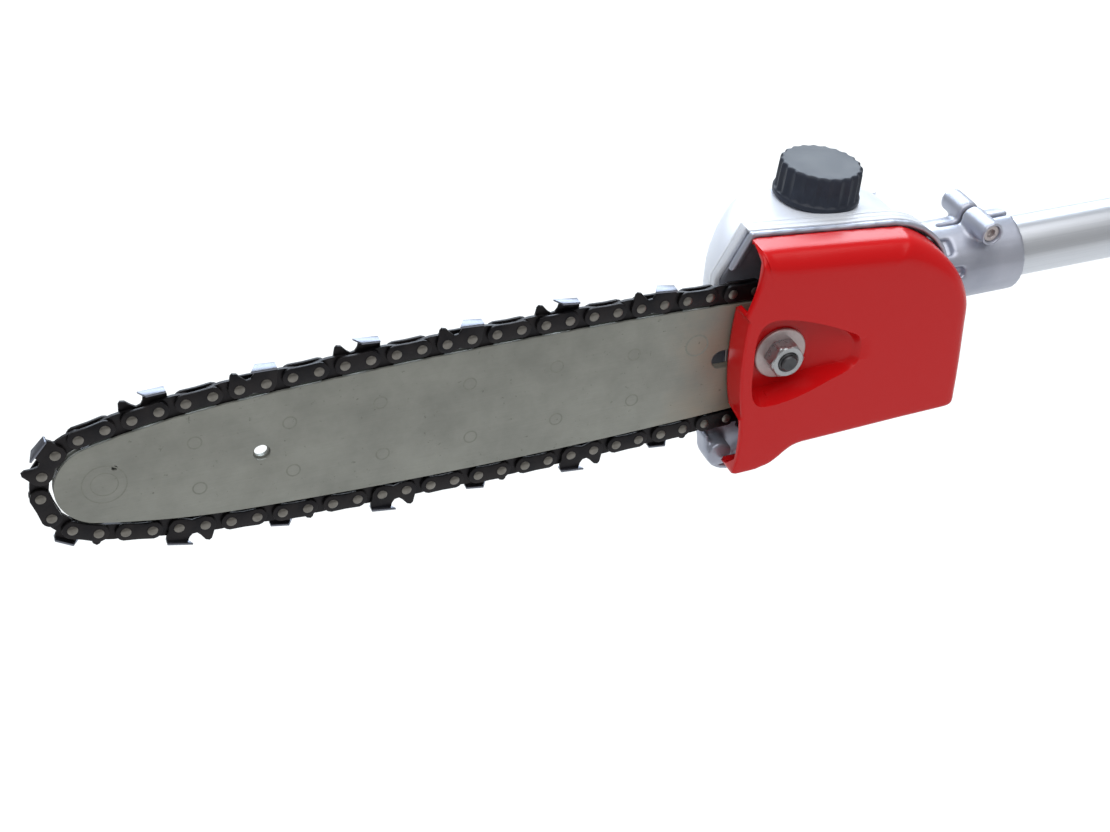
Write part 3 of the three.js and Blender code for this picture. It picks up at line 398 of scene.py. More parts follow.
def link_frame(step):
    """The place of the link that joins two rivets: +X towards the next rivet, +Z outwards."""
    a, out_a = on_chain(first_rivet - step * rivet_pitch)
    b, out_b = on_chain(first_rivet - (step + 1) * rivet_pitch)
    ahead = (b - a).normalized()
    out = Vector((-ahead.y, ahead.x))
    if out.dot(out_a + out_b) < 0:
        out = -out
    middle = (a + b) / 2
    half = (b - a).length / 2
    basis = Matrix((
        (ahead.x, 0, out.x, middle.x),
        (0, 1, 0, 0),
        (ahead.y, 0, out.y, middle.y),
        (0, 0, 0, 1),
    ))
    return basis, half


def arc_points(x, z, radius, start, end, count):
    steps = (math.radians(start + (end - start) * i / (count - 1)) for i in range(count))
    return [(x + radius * math.cos(a), z + radius * math.sin(a)) for a in steps]


def strap_outline(half):
    """Two round eyes joined by a waist that is deeper underneath."""
    points = arc_points(half, 0, link_radius, -70, 80, 8)
    points += [(0, link_radius - 0.25)]
    points += arc_points(-half, 0, link_radius, 100, 250, 8)
    points += [(0, -link_radius + 0.55)]
    return points


def drive_outline(half, with_tang):
    """The eyes of a drive link, its bumper on top and its tang, which runs in the groove."""
    points = arc_points(half, 0, 3.3, -60, 95, 7)
    points += [(1.2, 3.75), (-1.2, 3.75)]
    points += arc_points(-half, 0, 3.3, 85, 240, 7)
    if with_tang:
        points += [(-3.9, -4.2), (-2.6, -7.6), (-1.2, -9.2), (0.6, -9.0), (3.2, -5.6), (4.4, -3.6)]
    return points


def cutter_outline(half):
    """Side plate of a cutter: heel and top plate over the trailing rivet, gullet, depth gauge."""
    return [(half + 3.6, -1.6), (half + 4.0, 0.6), (half + 3.3, 3.2), (half + 2.6, 6.2), (half + 1.7, 7.0),
            (half + 0.2, 6.5), (half - 1.6, 4.2), (half - 3.0, 3.0), (half - 4.6, 3.3), (half - 5.6, 4.6),
            (-half + 3.2, 7.0), (-half - 4.4, 6.1), (-half - 4.6, 4.0), (-half - 3.9, 1.5),
            (-half - 3.7, -1.2), (-half - 2.2, -3.4), (-half + 0.6, -3.85), (0, -2.7), (half - 0.6, -3.85),
            (half + 2.2, -3.3)]


def top_plate(half, side):
    """The chromed plate bent over from the side plate, its leading edge ground back at an angle."""
    bm = bmesh.new()
    outer, inner = side * 3.35, -side * 0.9
    lead_out, lead_in, heel = -half + 5.0, -half + 2.6, -half - 4.4
    corners = [(lead_out, outer, 7.35), (lead_in, inner, 7.45),
               (heel, inner * 0.7, 6.55), (heel, outer * 0.92, 6.45)]
    lower = [bm.verts.new((x, y, z - 0.9)) for x, y, z in corners]
    upper = [bm.verts.new(corner) for corner in corners]
    bm.faces.new(lower)
    bm.faces.new(upper)
    for i in range(4):
        bm.faces.new((lower[i - 1], lower[i], upper[i], upper[i - 1]))
    bmesh.ops.recalc_face_normals(bm, faces=bm.faces)
    bmesh.ops.bevel(bm, geom=bm.edges[:], offset=0.22, offset_type="OFFSET", segments=2, profile=0.5,
                    affect="EDGES", material=-1)
    return bm


def placed(bm, basis):
    bmesh.ops.transform(bm, verts=bm.verts, matrix=basis)
    return bm


straps, drives, cutters, plates, rivets = [], [], [], [], []
for step in range(rivet_count):
    basis, half = link_frame(step)
    centre = basis.translation
    at_nose = centre.x < 4
    at_sprocket = centre.x > sprocket_x - 24
    if step % 2:
        outline = drive_outline(half, not (at_nose or at_sprocket))
        drives.append(placed(plate(outline, [], -0.6, 0.6), basis))
    else:
        cutter_side = {6: 1, 2: -1}.get(step % 8, 0)
        for side in (-1, 1):
            low, high = sorted((side * strap_in, side * strap_out))
            if side == cutter_side:
                cutters.append(placed(plate(cutter_outline(half), [], low, high, 0.18), basis))
                plates.append(placed(top_plate(half, side), basis))
            else:
                straps.append(placed(plate(strap_outline(half), [], low, high, 0.22), basis))
    spot, _ = on_chain(first_rivet - step * rivet_pitch)
    for side in (-1, 1):
        dome = [(1.95, side * 1.95), (1.9, side * 2.2), (1.45, side * 2.48), (0.8, side * 2.62),
                (0.0, side * 2.66), (0.0, side * 1.95)]
        rivets.append(moved(revolve(dome, 14), spot.x, 0, spot.y))

piece("chain_side_links", gather(*straps), on_head, "head", blued_steel, ["saw_chain"])
piece("chain_drive_links", gather(*drives), on_head, "head", blued_steel)
piece("chain_cutters", gather(*cutters), on_head, "head", blued_steel)
piece("chain_top_plates", gather(*plates), on_head, "head", hard_chrome)
piece("chain_rivets", gather(*rivets), on_head, "head", rivet_steel)

# ------------------------------------------------------------------ chain cover
# A glossy red shell injection-moulded in one piece, about 2 mm thick, open at the back and in front.
# A tongue closes it over the bar, and a three-cornered well takes the washer and nut down to it.
cover_face, cover_floor, cover_wall = -15.0, -4.25, 2.0

# Moulded ABS: strong red with a clear gloss; the skin is very slightly uneven, as mouldings are.
red_abs, tree, shader = new_material("red_moulded_abs", Base_Color=linear("#c01014"), IOR=1.45,
                                     Specular_IOR_Level=0.3)
coords = node(tree, "ShaderNodeTexCoord").outputs["Object"]
flow = node(tree, "ShaderNodeTexNoise", {"Vector": coords, "Scale": 22, "Detail": 3})
smears = node(tree, "ShaderNodeMapRange", {
    "Value": flow.outputs["Fac"], "From Min": 0.3, "From Max": 0.7, "To Min": 0.2, "To Max": 0.28})
tree.links.new(smears.outputs[0], shader.inputs["Roughness"])


def resample(points, spacing):
    """A closed outline with points about equally far apart; its own corners are kept."""
    result = []
    for i, start in enumerate(points):
        end = points[(i + 1) % len(points)]
        length = math.dist(start, end)
        count = max(1, round(length / spacing))
        for k in range(count):
            t = k / count
            result.append(tuple(a + (b - a) * t for a, b in zip(start, end)))
    return result


def bezier(a, b, c, d, count):
    """Points of a curve from a to d, without its last one."""
    result = []
    for i in range(count):
        t = i / count
        weights = ((1 - t) ** 3, 3 * t * (1 - t) ** 2, 3 * t * t * (1 - t), t ** 3)
        result.append(tuple(sum(w * p[k] for w, p in zip(weights, (a, b, c, d))) for k in range(len(a))))
    return result


def loft(loops, closed_ends=(False, False)):
    """A skin over closed loops of equally many points, shaped from a grid whose sides are merged."""
    bm = bmesh.new()
    count = len(loops[0])
    bmesh.ops.create_grid(bm, x_segments=count, y_segments=len(loops) - 1, size=1)
    bm.verts.ensure_lookup_table()
    for i, vertex in enumerate(bm.verts):
        row, column = divmod(i, count + 1)
        vertex.co = loops[row][column % count]
    bmesh.ops.remove_doubles(bm, verts=bm.verts, dist=1e-5)
    for shut, loop in zip(closed_ends, (loops[0], loops[-1])):
        if shut:
            places = {tuple(round(c, 3) for c in p) for p in loop}
            rim = [e for e in bm.edges if e.is_boundary
                   and all(tuple(round(c, 3) for c in v.co) in places for v in e.verts)]
            bmesh.ops.holes_fill(bm, edges=rim, sides=0)
    return bm


# Each point of the outline: x, z, how wide and deep the rounding is, where the wall ends, its lean.
round_top, round_rear, round_foot = (8.5, 8.5, 0, 0.4), (5.5, 5.5, 0, 0.4), (2.6, 2.6, 0, 0.4)
open_edge = (1.1, 1.3, -13.1, 0)


def smooth_run(start, near, far, end, before, after, count):
    """A curved stretch of the cover's outline, whose rounding changes from before to after."""
    return bezier((*start, *before), (*near, *before), (*far, *after), (*end, *after), count)


round_low_rear, boss_lip = (3.5, 3.5, 0, 0.4), (2, 2, -3.7, 0)
cover_line = smooth_run((243, -48.5), (247, -48.6), (250, -48.6), (254, -48.5),
                        boss_lip, (2.4, 2.4, -3.7, 0), 5)
cover_line += smooth_run((254, -48.5), (262.5, -47.8), (264, -40.6), (272, -40.2),
                         round_foot, round_foot, 10)
cover_line += smooth_run((272, -40.2), (290, -39.7), (318, -38.6), (338.6, -37.9),
                         round_foot, round_foot, 3)
cover_line += smooth_run((338.6, -37.9), (341.6, -37.8), (342.7, -36.6), (342.8, -34),
                         round_foot, round_low_rear, 6)
cover_line += smooth_run((342.8, -34), (343, -15), (343, -4), (342.8, 8), round_low_rear, round_rear, 5)
cover_line += smooth_run((342.8, 8), (342, 23), (329, 38.5), (313, 44.7), round_rear, round_top, 16)
cover_line += smooth_run((313, 44.7), (300, 46.3), (270, 49.2), (250, 51.1), round_top, round_top, 6)
cover_line += [(250, 51.1, 8, 8, 0, 0.4), (248, 51.2, 7, 7, -1, 0.2), (247.2, 49.8, 5, 5, -7, 0)]
cover_line += smooth_run((246.9, 47.5), (246.5, 42), (246.4, 39), (242.0, 27.6),
                         (1.6, 2.4, -11.5, 0), open_edge, 10)
cover_line += [(241.8, 27.0, *open_edge), (241.6, 25.4, *open_edge)]
tongue_edge = (1, 1, -3.4, 0.3)
cover_line += smooth_run((242.3, 24.2), (240.6, 12), (239.6, -6), (242.9, -20.4),
                         tongue_edge, tongue_edge, 14)
cover_line += [(242.9, -20.4, 1, 1, -3.4, 0.2), (242.6, -22, *open_edge)]
cover_line += smooth_run((242.8, -23), (243.6, -31), (243.4, -38), (241.8, -45),
                         open_edge, open_edge, 6)
cover_line += [(241.4, -46.4, 1.3, 1.6, -8, 0), (241.6, -47.8, 1.8, 2, -4, 0)]
edge_points = resample(cover_line, 1.3)

rim_upper = [((246, 2), (246, 13), (245.2, 22.4), (254, 22.4)),
             ((254, 22.4), (264, 22), (281, 14), (288.5, 9.6))]
rim_right = [((288.5, 9.6), (293.6, 7.8), (293.4, 2.2), (293.2, -1.2)),
             ((293.2, -1.2), (293, -7), (288, -8.2), (280, -11))]
rim_lower = [((280, -11), (270, -15.4), (262, -17.4), (254, -17.4)),
             ((254, -17.4), (245.8, -17.2), (246, -9), (246, 2))]
well_rim = [point for curve in rim_upper + rim_right + rim_lower for point in bezier(*curve, 9)]


def reach(angle):
    """How far the well's rim is from the stud in one direction."""
    ray = Vector((math.cos(angle), math.sin(angle)))
    for i, start in enumerate(well_rim):
        a = Vector(well_rim[i - 1]) - Vector((stud_x, 0))
        side = Vector(start) - Vector(well_rim[i - 1])
        cross = ray.cross(side)
        if abs(cross) > 1e-9 and a.cross(side) / cross > 0 and -1e-6 <= a.cross(ray) / cross <= 1 + 1e-6:
            return a.cross(side) / cross
    return 20


def cover_column(i):
    """The cover's section along the ray from the stud through one point of its outline."""
    x, z, width, depth, end, lean = edge_points[i]
    a, b = edge_points[i - 2], edge_points[(i + 2) % len(edge_points)]
    outward = Vector((b[1] - a[1], a[0] - b[0])).normalized()
    out = Vector((x - stud_x, z))
    ray = out.normalized()
    rim, edge = reach(math.atan2(z, x - stud_x)), out.length
    slant = max(0.6, ray.dot(outward))
    width = min(width / slant, edge - rim - lean - 1.2)
    side = edge - lean / slant
    ramp = max(0.0, ray.x - 0.55) / 0.45 * 0.5
    wall_foot = rim - 2.4 - 2.2 * max(0.0, ray.y) * (1 - max(0.0, ray.x))
    rise = cover_floor - max(0.0, wall_foot - 13.2) * ramp
    section = [(4.4, cover_floor), (8.5, cover_floor), (12.4, cover_floor), (13.2, cover_floor - 0.05 * ramp)]
    foot = max(13.5, wall_foot)
    section += [(13.5 + (foot - 13.5) * t, cover_floor + (rise - cover_floor) * t) for t in (0.3, 0.6, 0.85)]
    for t in (0.0, 0.12, 0.25, 0.4, 0.55, 0.7, 0.85, 0.94, 1.0):
        eased = t * t * (3 - 2 * t) * 0.25 + t * 0.75
        section.append((foot + (rim - foot) * t, rise + (cover_face - rise) * eased))
    flat = side - width - rim
    section += [(rim + flat * t, cover_face) for t in (0.12, 0.4, 0.7, 0.97)]
    for k in range(1, 9):
        turn_angle = math.pi / 2 * k / 8
        section.append((side - width + width * math.sin(turn_angle),
                        cover_face + depth * (1 - math.cos(turn_angle))))
    low = cover_face + depth
    section += [(side + (edge - side) * t, low + (max(end, low + 0.2) - low) * t)
                for t in (0.3, 0.65, 0.9, 1.0)]
    return [(stud_x + ray.x * r, y, ray.y * r) for r, y in section]


def cover_loops():
    columns = [cover_column(i) for i in range(len(edge_points))]
    return [[column[row] for column in columns] for row in range(len(columns[0]))]


cover_mesh = loft(cover_loops())
bmesh.ops.recalc_face_normals(cover_mesh, faces=cover_mesh.faces)
cover_shell = piece("cover_shell", cover_mesh, on_head, "cover", red_abs, ["chain_cover"], 50)
wall = cover_shell.modifiers.new("wall", "SOLIDIFY")
wall.thickness = cover_wall / 1000
wall.offset = -1
wall.use_even_offset = False

# ------------------------------------------------------------------ oil tank
# Blow-moulded white polyethylene, slightly see-through, with a round shoulder at the front.
# It stands behind the case's rim and over the bevel gears; its neck leans with its sloping top.
tank_near, tank_far = 9.3, 46.0
tank_side = bezier((238, 8), (238, 14), (238, 20), (238.4, 26), 5)
tank_side += bezier((238.4, 26), (240, 40), (250, 49.9), (264, 48.8), 12)
tank_side += bezier((264, 48.8), (278, 47.5), (292, 46.1), (306, 44.8), 6)
tank_side += bezier((306, 44.8), (318, 43), (327, 38), (332, 26.2), 10)
tank_side += [(332, 26), (300, 26), (281, 26), (277.5, 22.5), (277.5, 10), (275.5, 8), (256, 8)]
tank_side = resample(list(reversed(tank_side)), 2.2)
if sum(a[0] * b[1] - b[0] * a[1] for a, b in zip(tank_side, tank_side[1:] + tank_side[:1])) < 0:
    tank_side.reverse()


def inward_at(points, i):
    """The unit vector into the outline at one of its points (the outline runs anticlockwise)."""
    a, b = points[i - 1], points[(i + 1) % len(points)]
    direction = Vector((b[0] - a[0], b[1] - a[1])).normalized()
    return Vector((-direction.y, direction.x))


def tank_loop(y, shrink):
    """The tank's section at one depth, drawn in by shrink, its front rounded back with depth."""
    loop = []
    for i, (x, z) in enumerate(tank_side):
        p = Vector((x, z)) + inward_at(tank_side, i) * shrink
        depth = min(39.5, max(0.0, y - 7))
        curve = 40 - math.sqrt(40 ** 2 - depth ** 2)
        share = max(0.0, (279 - p.x) / 41)
        near = max(0.0, 1 - (y - tank_near) / 13) ** 2
        if p.y > 30:
            p.y += 2.4 * near * min(1.0, (p.y - 30) / 14)
        loop.append((p.x + curve * share ** 1.2 * 0.92, y, p.y))
    return loop


sections = [tank_loop(tank_near, 1.2), tank_loop(tank_near + 0.4, 0.35), tank_loop(tank_near + 1.2, 0)]
sections += [tank_loop(tank_near + d, 0) for d in (6, 11, 16, 21, 25)]
sections += [tank_loop(tank_far - 10 * (1 - math.sin(a)), 8 * (1 - math.cos(a)))
             for a in (math.radians(d) for d in (12, 25, 38, 50, 62, 74, 84))]
tank_mesh = loft(sections, (True, True))
tank_plastic, tree, shader = new_material(
    "white_polyethylene", Roughness=0.38, IOR=1.51, Subsurface_Weight=0.35, Subsurface_Scale=0.006)
shader.inputs["Subsurface Radius"].default_value = (1.0, 0.95, 0.9)
coords = node(tree, "ShaderNodeTexCoord").outputs["Object"]
cloud = node(tree, "ShaderNodeTexNoise", {"Vector": coords, "Scale": 30, "Detail": 3})
milk = node(tree, "ShaderNodeValToRGB", {"Fac": cloud.outputs["Fac"]})
milk.color_ramp.elements[0].color = linear("#c9cfdb")
milk.color_ramp.elements[1].color = linear("#d8dce6")
tree.links.new(milk.outputs[0], shader.inputs["Base Color"])
skin_grain = node(tree, "ShaderNodeTexNoise", {"Vector": coords, "Scale": 700, "Detail": 2})
bump = node(tree, "ShaderNodeBump", {
    "Height": skin_grain.outputs["Fac"], "Strength": 0.08, "Distance": 0.0002})
tree.links.new(bump.outputs[0], shader.inputs["Normal"])
tray_edge = [(237.1, 27.2), (237.1, 32.4), (248.5, 52.7), (262, 51.4), (290, 48.7), (311, 46.7)]
tray_edge += bezier((311, 46.7), (322, 45.2), (329.5, 39.5), (332.8, 33.4), 8)[1:] + [(332.8, 33.4)]
skirt_inner = [(239.4, 27.2), (239.4, 31.8), (249.8, 50.3), (262, 49.1), (290, 46.4), (310.8, 44.4)]
skirt_inner += bezier((310.8, 44.4), (320.6, 43), (327, 38.8), (330.7, 31.5), 8)[1:] + [(330.7, 31.5)]
skirt = plate(tray_edge + skirt_inner[::-1], [], 6.1, 9.2, 0.3)
lip_line = [p for p in tray_edge if p[1] > 37.6] + [p for p in skirt_inner[::-1] if p[1] > 38.2]
lip = plate(lip_line, [], 3.5, 6.3, 0.2)
flange = plate(tray_edge, [], 9.3, 10.6, 0.4)
tank_mesh = gather(tank_mesh, skirt, lip, flange)
tank_shell = piece("tank_shell", tank_mesh, on_head, "head", tank_plastic, ["oil_tank"], 40)

# The neck is a threaded tube; the cap hides it until it is lifted.
cap_tilt = math.radians(5.5)
cap_foot = Vector((291.3, 30, 46.2))
on_cap = on_head @ Matrix.Translation(cap_foot) @ Matrix.Rotation(cap_tilt, 4, "Y")
upright = Matrix.Rotation(math.radians(90), 4, "X")
neck = placed(revolve([(11, -2.5), (11, 11), (13.2, 11), (13.2, -2.5)], 48), upright)
threads = []
for turn_number in range(2):
    bm = bmesh.new()
    section = [bm.verts.new((r, 0, z)) for r, z in ((12.9, -0.9), (13.75, -0.25), (13.75, 0.25), (12.9, 0.9))]
    for i, vertex in enumerate(section):
        bm.edges.new((vertex, section[i - 1]))
    bmesh.ops.spin(bm, geom=[bm.faces.new(section)], cent=(0, 0, 0), axis=(0, 0, 1), dvec=(0, 0, 4 / 40),
                   angle=2 * math.pi, steps=40)
    threads.append(moved(bm, 0, 0, 2.2 + 4 * turn_number))
piece("tank_neck", gather(neck, *threads), on_cap, "head", tank_plastic)

# ------------------------------------------------------------------ filler cap
# Black moulded cap with a ribbed grip and a plain flange; its flat top mirrors the sky in blue-grey.
black_nylon, tree, shader = new_material("black_moulded_nylon", Roughness=0.34, IOR=1.5,
                                         Specular_IOR_Level=0.16)
coords = node(tree, "ShaderNodeTexCoord").outputs["Object"]
dust = node(tree, "ShaderNodeTexNoise", {"Vector": coords, "Scale": 120, "Detail": 5, "Roughness": 0.65})
soot = node(tree, "ShaderNodeValToRGB", {"Fac": dust.outputs["Fac"]})
soot.color_ramp.elements[0].color = linear("#23262d")
soot.color_ramp.elements[1].color = linear("#353a46")
tree.links.new(soot.outputs[0], shader.inputs["Base Color"])
haze = node(tree, "ShaderNodeMapRange", {"Value": dust.outputs["Fac"], "To Min": 0.26, "To Max": 0.5})
tree.links.new(haze.outputs[0], shader.inputs["Roughness"])
bump = node(tree, "ShaderNodeBump", {"Height": dust.outputs["Fac"], "Strength": 0.1, "Distance": 0.0003})
tree.links.new(bump.outputs[0], shader.inputs["Normal"])

cap_ribs, rib_steps = 22, 8


def cap_loop(height, radius, dip):
    """One level of the cap; dip is how deep the flutes between the ribs are there."""
    loop = []
    for i in range(cap_ribs * rib_steps):
        angle = 2 * math.pi * i / (cap_ribs * rib_steps)
        r = radius - dip * (0.5 + 0.5 * math.cos(angle * cap_ribs)) ** 0.7
        loop.append((r * math.cos(angle), r * math.sin(angle), height))
    return loop


cap_levels = [(0.8, 13.9, 0), (0.8, 17.1, 0), (1.1, 17.4, 0), (2.6, 17.4, 0), (3.0, 17.2, 0),
              (3.2, 17.0, 0.2),
              (3.9, 16.9, 0.75), (9, 16.75, 0.85), (13.6, 16.6, 0.85), (14.5, 16.35, 0.85), (14.9, 15.9, 0.8),
              (15.0, 15.3, 0.6), (15.0, 14.6, 0.15), (14.95, 13.8, 0), (14.95, 8, 0), (14.95, 3, 0)]
cap_inside = [(13.0, 3, 0), (13.0, 13.4, 0), (12.6, 13.9, 0), (6, 13.9, 0), (0.8, 13.9, 0)]
outer_skin = loft([cap_loop(*level) for level in cap_levels], (False, True))
inner_skin = loft([cap_loop(*level) for level in cap_inside], (True, False))
cap_mesh = gather(outer_skin, inner_skin)
bmesh.ops.remove_doubles(cap_mesh, verts=cap_mesh.verts, dist=1e-3)
piece("cap_moulding", cap_mesh, on_cap, "oil_cap", black_nylon, ["oil_cap"], 40)

# ------------------------------------------------------------------ gear case
# Die-cast aluminium with soft edges and a blasted skin. The casting is the frame's own shape, with
# its edges rounded by remeshing as fine as its ribs need.
cast_metal, tree, shader = new_material("die_cast_aluminium", Metallic=0.6, Roughness=0.4)
coords = node(tree, "ShaderNodeTexCoord").outputs["Object"]
grit = node(tree, "ShaderNodeTexNoise", {"Vector": coords, "Scale": 1300, "Detail": 3})
stains = node(tree, "ShaderNodeTexNoise", {"Vector": coords, "Scale": 45, "Detail": 5})
grey = node(tree, "ShaderNodeValToRGB", {"Fac": stains.outputs["Fac"]})
grey.color_ramp.elements[0].position, grey.color_ramp.elements[1].position = 0.3, 0.7
grey.color_ramp.elements[0].color = linear("#9a9fae")
grey.color_ramp.elements[1].color = linear("#b3b7c4")
tree.links.new(grey.outputs[0], shader.inputs["Base Color"])
blast = node(tree, "ShaderNodeMapRange", {"Value": stains.outputs["Fac"], "To Min": 0.32, "To Max": 0.5})
tree.links.new(blast.outputs[0], shader.inputs["Roughness"])
bump = node(tree, "ShaderNodeBump", {"Height": grit.outputs["Fac"], "Strength": 0.25, "Distance": 0.0002})
tree.links.new(bump.outputs[0], shader.inputs["Normal"])


def applied(obj):
    """Applies an object's modifiers, so that its mesh is final."""
    graph = bpy.context.evaluated_depsgraph_get()
    mesh = bpy.data.meshes.new_from_object(obj.evaluated_get(graph))
    obj.modifiers.clear()
    obj.data = mesh
    return obj


def merged_copy(node_name):
    """A copy of a frame node's mesh, with its loose triangles joined."""
    bm = bmesh.new()
    bm.from_mesh(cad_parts[node_name].data)
    bmesh.ops.remove_doubles(bm, verts=bm.verts, dist=2e-6)
    return bm


def cast_piece(name, node_name, body, look, voxel, passes):
    made = piece(name, merged_copy(node_name), Matrix.Identity(4), body, look, [node_name], 60)
    remesh = made.modifiers.new("skin", "REMESH")
    remesh.mode = "VOXEL"
    remesh.voxel_size = voxel / 1000
    remesh.use_smooth_shade = True
    soften = made.modifiers.new("soften", "CORRECTIVE_SMOOTH")
    soften.factor = 0.5
    soften.iterations = passes
    soften.use_only_smooth = True
    return applied(made)


cast_piece("gear_case_casting", "gear_case", "head", cast_metal, 0.85, 4)
cast_piece("case_lid_casting", "gear_case_lid", "head", cast_metal, 0.7, 3)

# ------------------------------------------------------------------ machined and pressed parts
# Turned, ground or stamped steel parts keep the frame's own shapes, with small bevels on their edges
# that catch the light as broken corners do.


def steel_finish(name, dark, light, metallic, roughness, scale):
    material, tree, shader = new_material(name, Metallic=metallic, Roughness=roughness)
    coords = node(tree, "ShaderNodeTexCoord").outputs["Object"]
    turned = node(tree, "ShaderNodeTexNoise", {"Vector": coords, "Scale": scale, "Detail": 4})
    ramp = node(tree, "ShaderNodeValToRGB", {"Fac": turned.outputs["Fac"]})
    ramp.color_ramp.elements[0].color = linear(dark)
    ramp.color_ramp.elements[1].color = linear(light)
    tree.links.new(ramp.outputs[0], shader.inputs["Base Color"])
    spread = node(tree, "ShaderNodeMapRange", {
        "Value": turned.outputs["Fac"], "To Min": roughness - 0.1, "To Max": roughness + 0.12})
    tree.links.new(spread.outputs[0], shader.inputs["Roughness"])
    return material


ground_steel = steel_finish("ground_steel", "#8d9094", "#b4b6b9", 0.7, 0.28, 400)
hardened_steel = steel_finish("hardened_steel", "#3a3b3e", "#5d5e61", 0.9, 0.38, 350)
zinc_plate = steel_finish("zinc_plate", "#a8a09f", "#c9c2c4", 0.45, 0.38, 500)
sintered_bronze = steel_finish("sintered_bronze", "#86672f", "#a9854a", 0.8, 0.5, 900)
moulded_rubber = steel_finish("moulded_rubber", "#161617", "#242425", 0.0, 0.75, 300)


def edged_piece(name, node_name, body, look, bevel):
    """A frame node's own shape, with flat faces dissolved and its corners broken."""
    bm = merged_copy(node_name)
    bmesh.ops.dissolve_limit(bm, angle_limit=0.02, verts=bm.verts, edges=bm.edges)
    made = piece(name, bm, Matrix.Identity(4), body, look, [node_name], 30)
    corners = made.modifiers.new("corners", "BEVEL")
    corners.width = bevel / 1000
    corners.segments = 2
    corners.limit_method = "ANGLE"
    corners.angle_limit = math.radians(40)
    corners.harden_normals = False
    return applied(made)


plain_nodes = {
    ground_steel: ["nose_race", "output_shaft", "upper_drive_shaft", "output_bearing_near",
                   "output_bearing_far", "pinion_bearing_1", "pinion_bearing_2"],
    hardened_steel: ["nose_sprocket", "bevel_gear", "drive_sprocket", "retaining_clip", "pinion_gear",
                     "lower_drive_shaft", "tension_block", "pump_plunger"],
    zinc_plate: ["sprocket_washer", "locating_screw", "guide_plate", "tension_screw", "oil_pump"],
    sintered_bronze: ["pickup_filter", "upper_shaft_bushing", "lower_shaft_bushing"],
    moulded_rubber: ["cap_gasket", "oil_line"],
    black_nylon: ["tube_guide"],
    bar_paint: ["bar_core"],
}
for look, names in plain_nodes.items():
    for name in names:
        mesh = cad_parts[name].data
        mesh.materials.clear()
        mesh.materials.append(look)

screws = {"lid_screw_1": "head", "lid_screw_2": "head", "lid_screw_3": "head", "lid_screw_4": "head",
          "clamp_screw": "head", "clamp_bolt": "pole", "lever_pin": "pole"}
for screw, body in screws.items():
    edged_piece(f"{screw}_turned", screw, body, zinc_plate, 0.3)

# ------------------------------------------------------------------ stud, washer and nut
# The cover is held by one M8 nut on a wide zinc-plated washer; the stud's end stands out, oil-black.
stud_y = ((stud_low + stud_high) / 2 - nose).y * 1000
washer_section = [(4.3, -4.3), (4.3, -5.6), (4.5, -5.8), (10.6, -5.8), (11, -5.5), (11, -4.5),
                  (10.8, -4.25)]
washer = moved(revolve(washer_section, 64), stud_x)
piece("washer_stamped", washer, on_head, "cover", zinc_plate, ["cover_washer"])

# A hexagon whose corners are turned away at both ends: each level is a hexagon cut by a circle.
nut_half, nut_bore, nut_turned = 6.5, 4.1, 1.25


def nut_loop(y, reach_limit):
    """One level of the nut, clockwise from a corner, with no point further out than the limit."""
    loop = []
    for i in range(72):
        angle = math.radians(5 * i)
        to_flat = math.radians((5 * i) % 60 - 30)
        radius = min(nut_half / math.cos(to_flat), reach_limit)
        loop.append((radius * math.cos(angle), y, radius * math.sin(angle)))
    return loop


def bore_loop(y, radius):
    return [(radius * math.cos(a), y, radius * math.sin(a)) for a in (math.radians(5 * i) for i in range(72))]


nut_levels = [bore_loop(-5.8, nut_bore + 0.3), nut_loop(-5.8, nut_half + 0.3),
              nut_loop(-6.35, nut_half + nut_turned),
              nut_loop(-11.4, nut_half + nut_turned), nut_loop(-11.85, 7.0), nut_loop(-12.3, 6.3),
              bore_loop(-12.3, nut_bore + 0.4), bore_loop(-11.9, nut_bore), bore_loop(-6.1, nut_bore)]
nut_mesh = loft(nut_levels + nut_levels[:1])
piece("nut_hexagon", moved(nut_mesh, stud_x), on_head, "cover_nut", ground_steel,
      ["cover_nut"], 22)

# A turn of thread every 1.25 mm, as shallow ridges on a plain shank.
stud_profile = [(0.0, 16.0), (3.9, 16.0), (3.9, -3.0)]
ridge = -3.0
while ridge > -13.0:
    stud_profile += [(3.98, ridge - 0.25), (3.98, ridge - 0.45), (3.45, ridge - 0.85), (3.45, ridge - 1.0)]
    ridge -= 1.25
stud_profile += [(3.4, -13.5), (2.9, -14.0), (0.0, -14.0)]
stud = moved(revolve(stud_profile, 32), stud_x)
piece("stud_threaded", stud, on_head, "head", hardened_steel, ["bar_stud"])

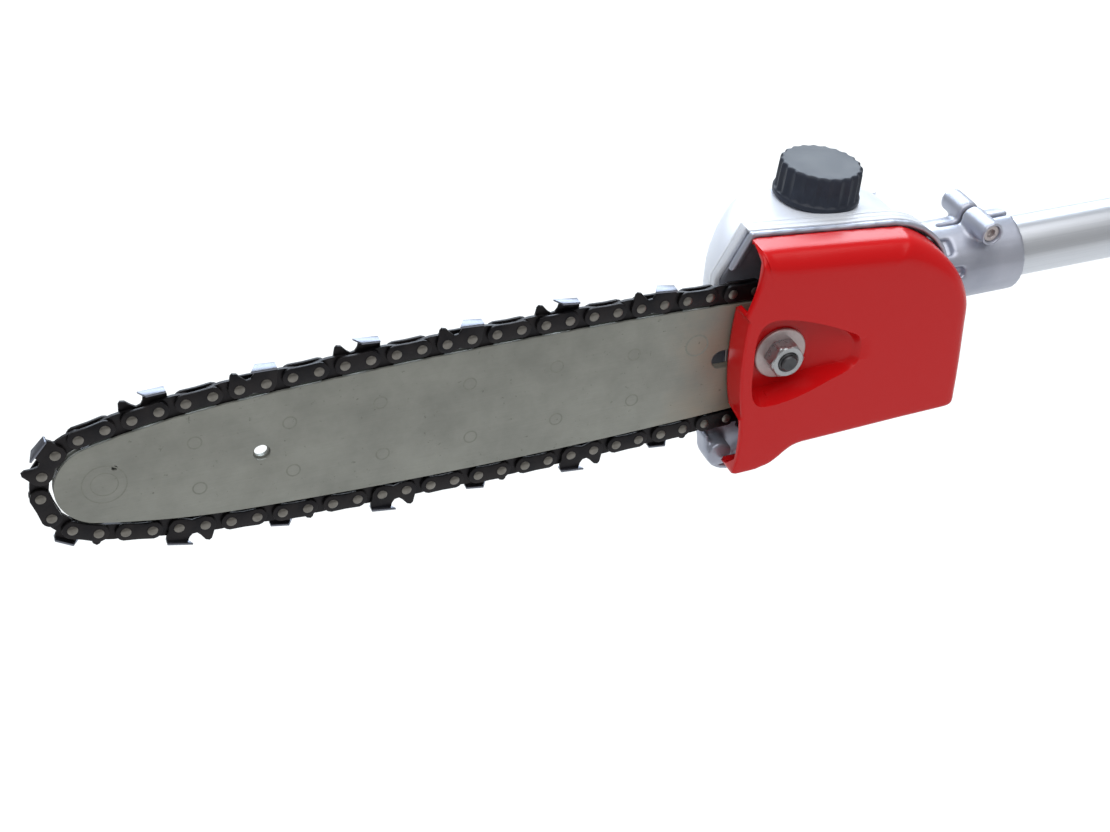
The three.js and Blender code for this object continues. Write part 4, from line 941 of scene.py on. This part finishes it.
# ------------------------------------------------------------------ pole tubes
# Drawn aluminium tubes, clear-anodised: satin, with faint draw lines along them.
tube_metal, tree, shader = new_material("anodised_aluminium", Metallic=0.7, Roughness=0.3)
coords = node(tree, "ShaderNodeTexCoord").outputs["Object"]
drawn = node(tree, "ShaderNodeMapping", {"Vector": coords, "Scale": (6, 1500, 1500)})
draw_lines = node(tree, "ShaderNodeTexNoise", {"Vector": drawn.outputs[0], "Scale": 1, "Detail": 3})
silver = node(tree, "ShaderNodeValToRGB", {"Fac": draw_lines.outputs["Fac"]})
silver.color_ramp.elements[0].color = linear("#bcc1ca")
silver.color_ramp.elements[1].color = linear("#d4d8df")
tree.links.new(silver.outputs[0], shader.inputs["Base Color"])
satin = node(tree, "ShaderNodeMapRange", {"Value": draw_lines.outputs["Fac"], "To Min": 0.24, "To Max": 0.42})
tree.links.new(satin.outputs[0], shader.inputs["Roughness"])
bump = node(tree, "ShaderNodeBump", {
    "Height": draw_lines.outputs["Fac"], "Strength": 0.05, "Distance": 0.0002})
tree.links.new(bump.outputs[0], shader.inputs["Normal"])


def tube_along_x(outer, inner, start, end, across):
    profile = [(inner, start + 0.3), (inner + 0.3, start), (outer - 0.4, start), (outer, start + 0.4),
               (outer, end - 0.4), (outer - 0.4, end), (inner + 0.3, end), (inner, end - 0.3)]
    bm = revolve(profile, 96)
    bmesh.ops.transform(bm, verts=bm.verts, matrix=Matrix.Rotation(math.radians(-90), 4, "Z"))
    return moved(bm, 0, across, 0)


tube_low, tube_high = (corner * 1000 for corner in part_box("inner_tube"))
inner_drawn = tube_along_x(13, 11.5, tube_low.x, tube_high.x, 0)
piece("inner_tube_drawn", inner_drawn, on_pole, "head", tube_metal, ["inner_tube"])
tube_low, tube_high = (corner * 1000 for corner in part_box("outer_tube"))
outer_drawn = tube_along_x(15, 13.4, tube_low.x, tube_high.x, 0)
piece("outer_tube_drawn", outer_drawn, on_pole, "pole", tube_metal, ["outer_tube"])

# ------------------------------------------------------------------ telescope lock
# A split nylon collar, pinched by a cam lever on a cross bolt.
cast_piece("collar_moulding", "lock_collar", "pole", black_nylon, 0.6, 3)
cast_piece("lever_moulding", "lock_lever", "lock_lever", red_abs, 0.35, 4)
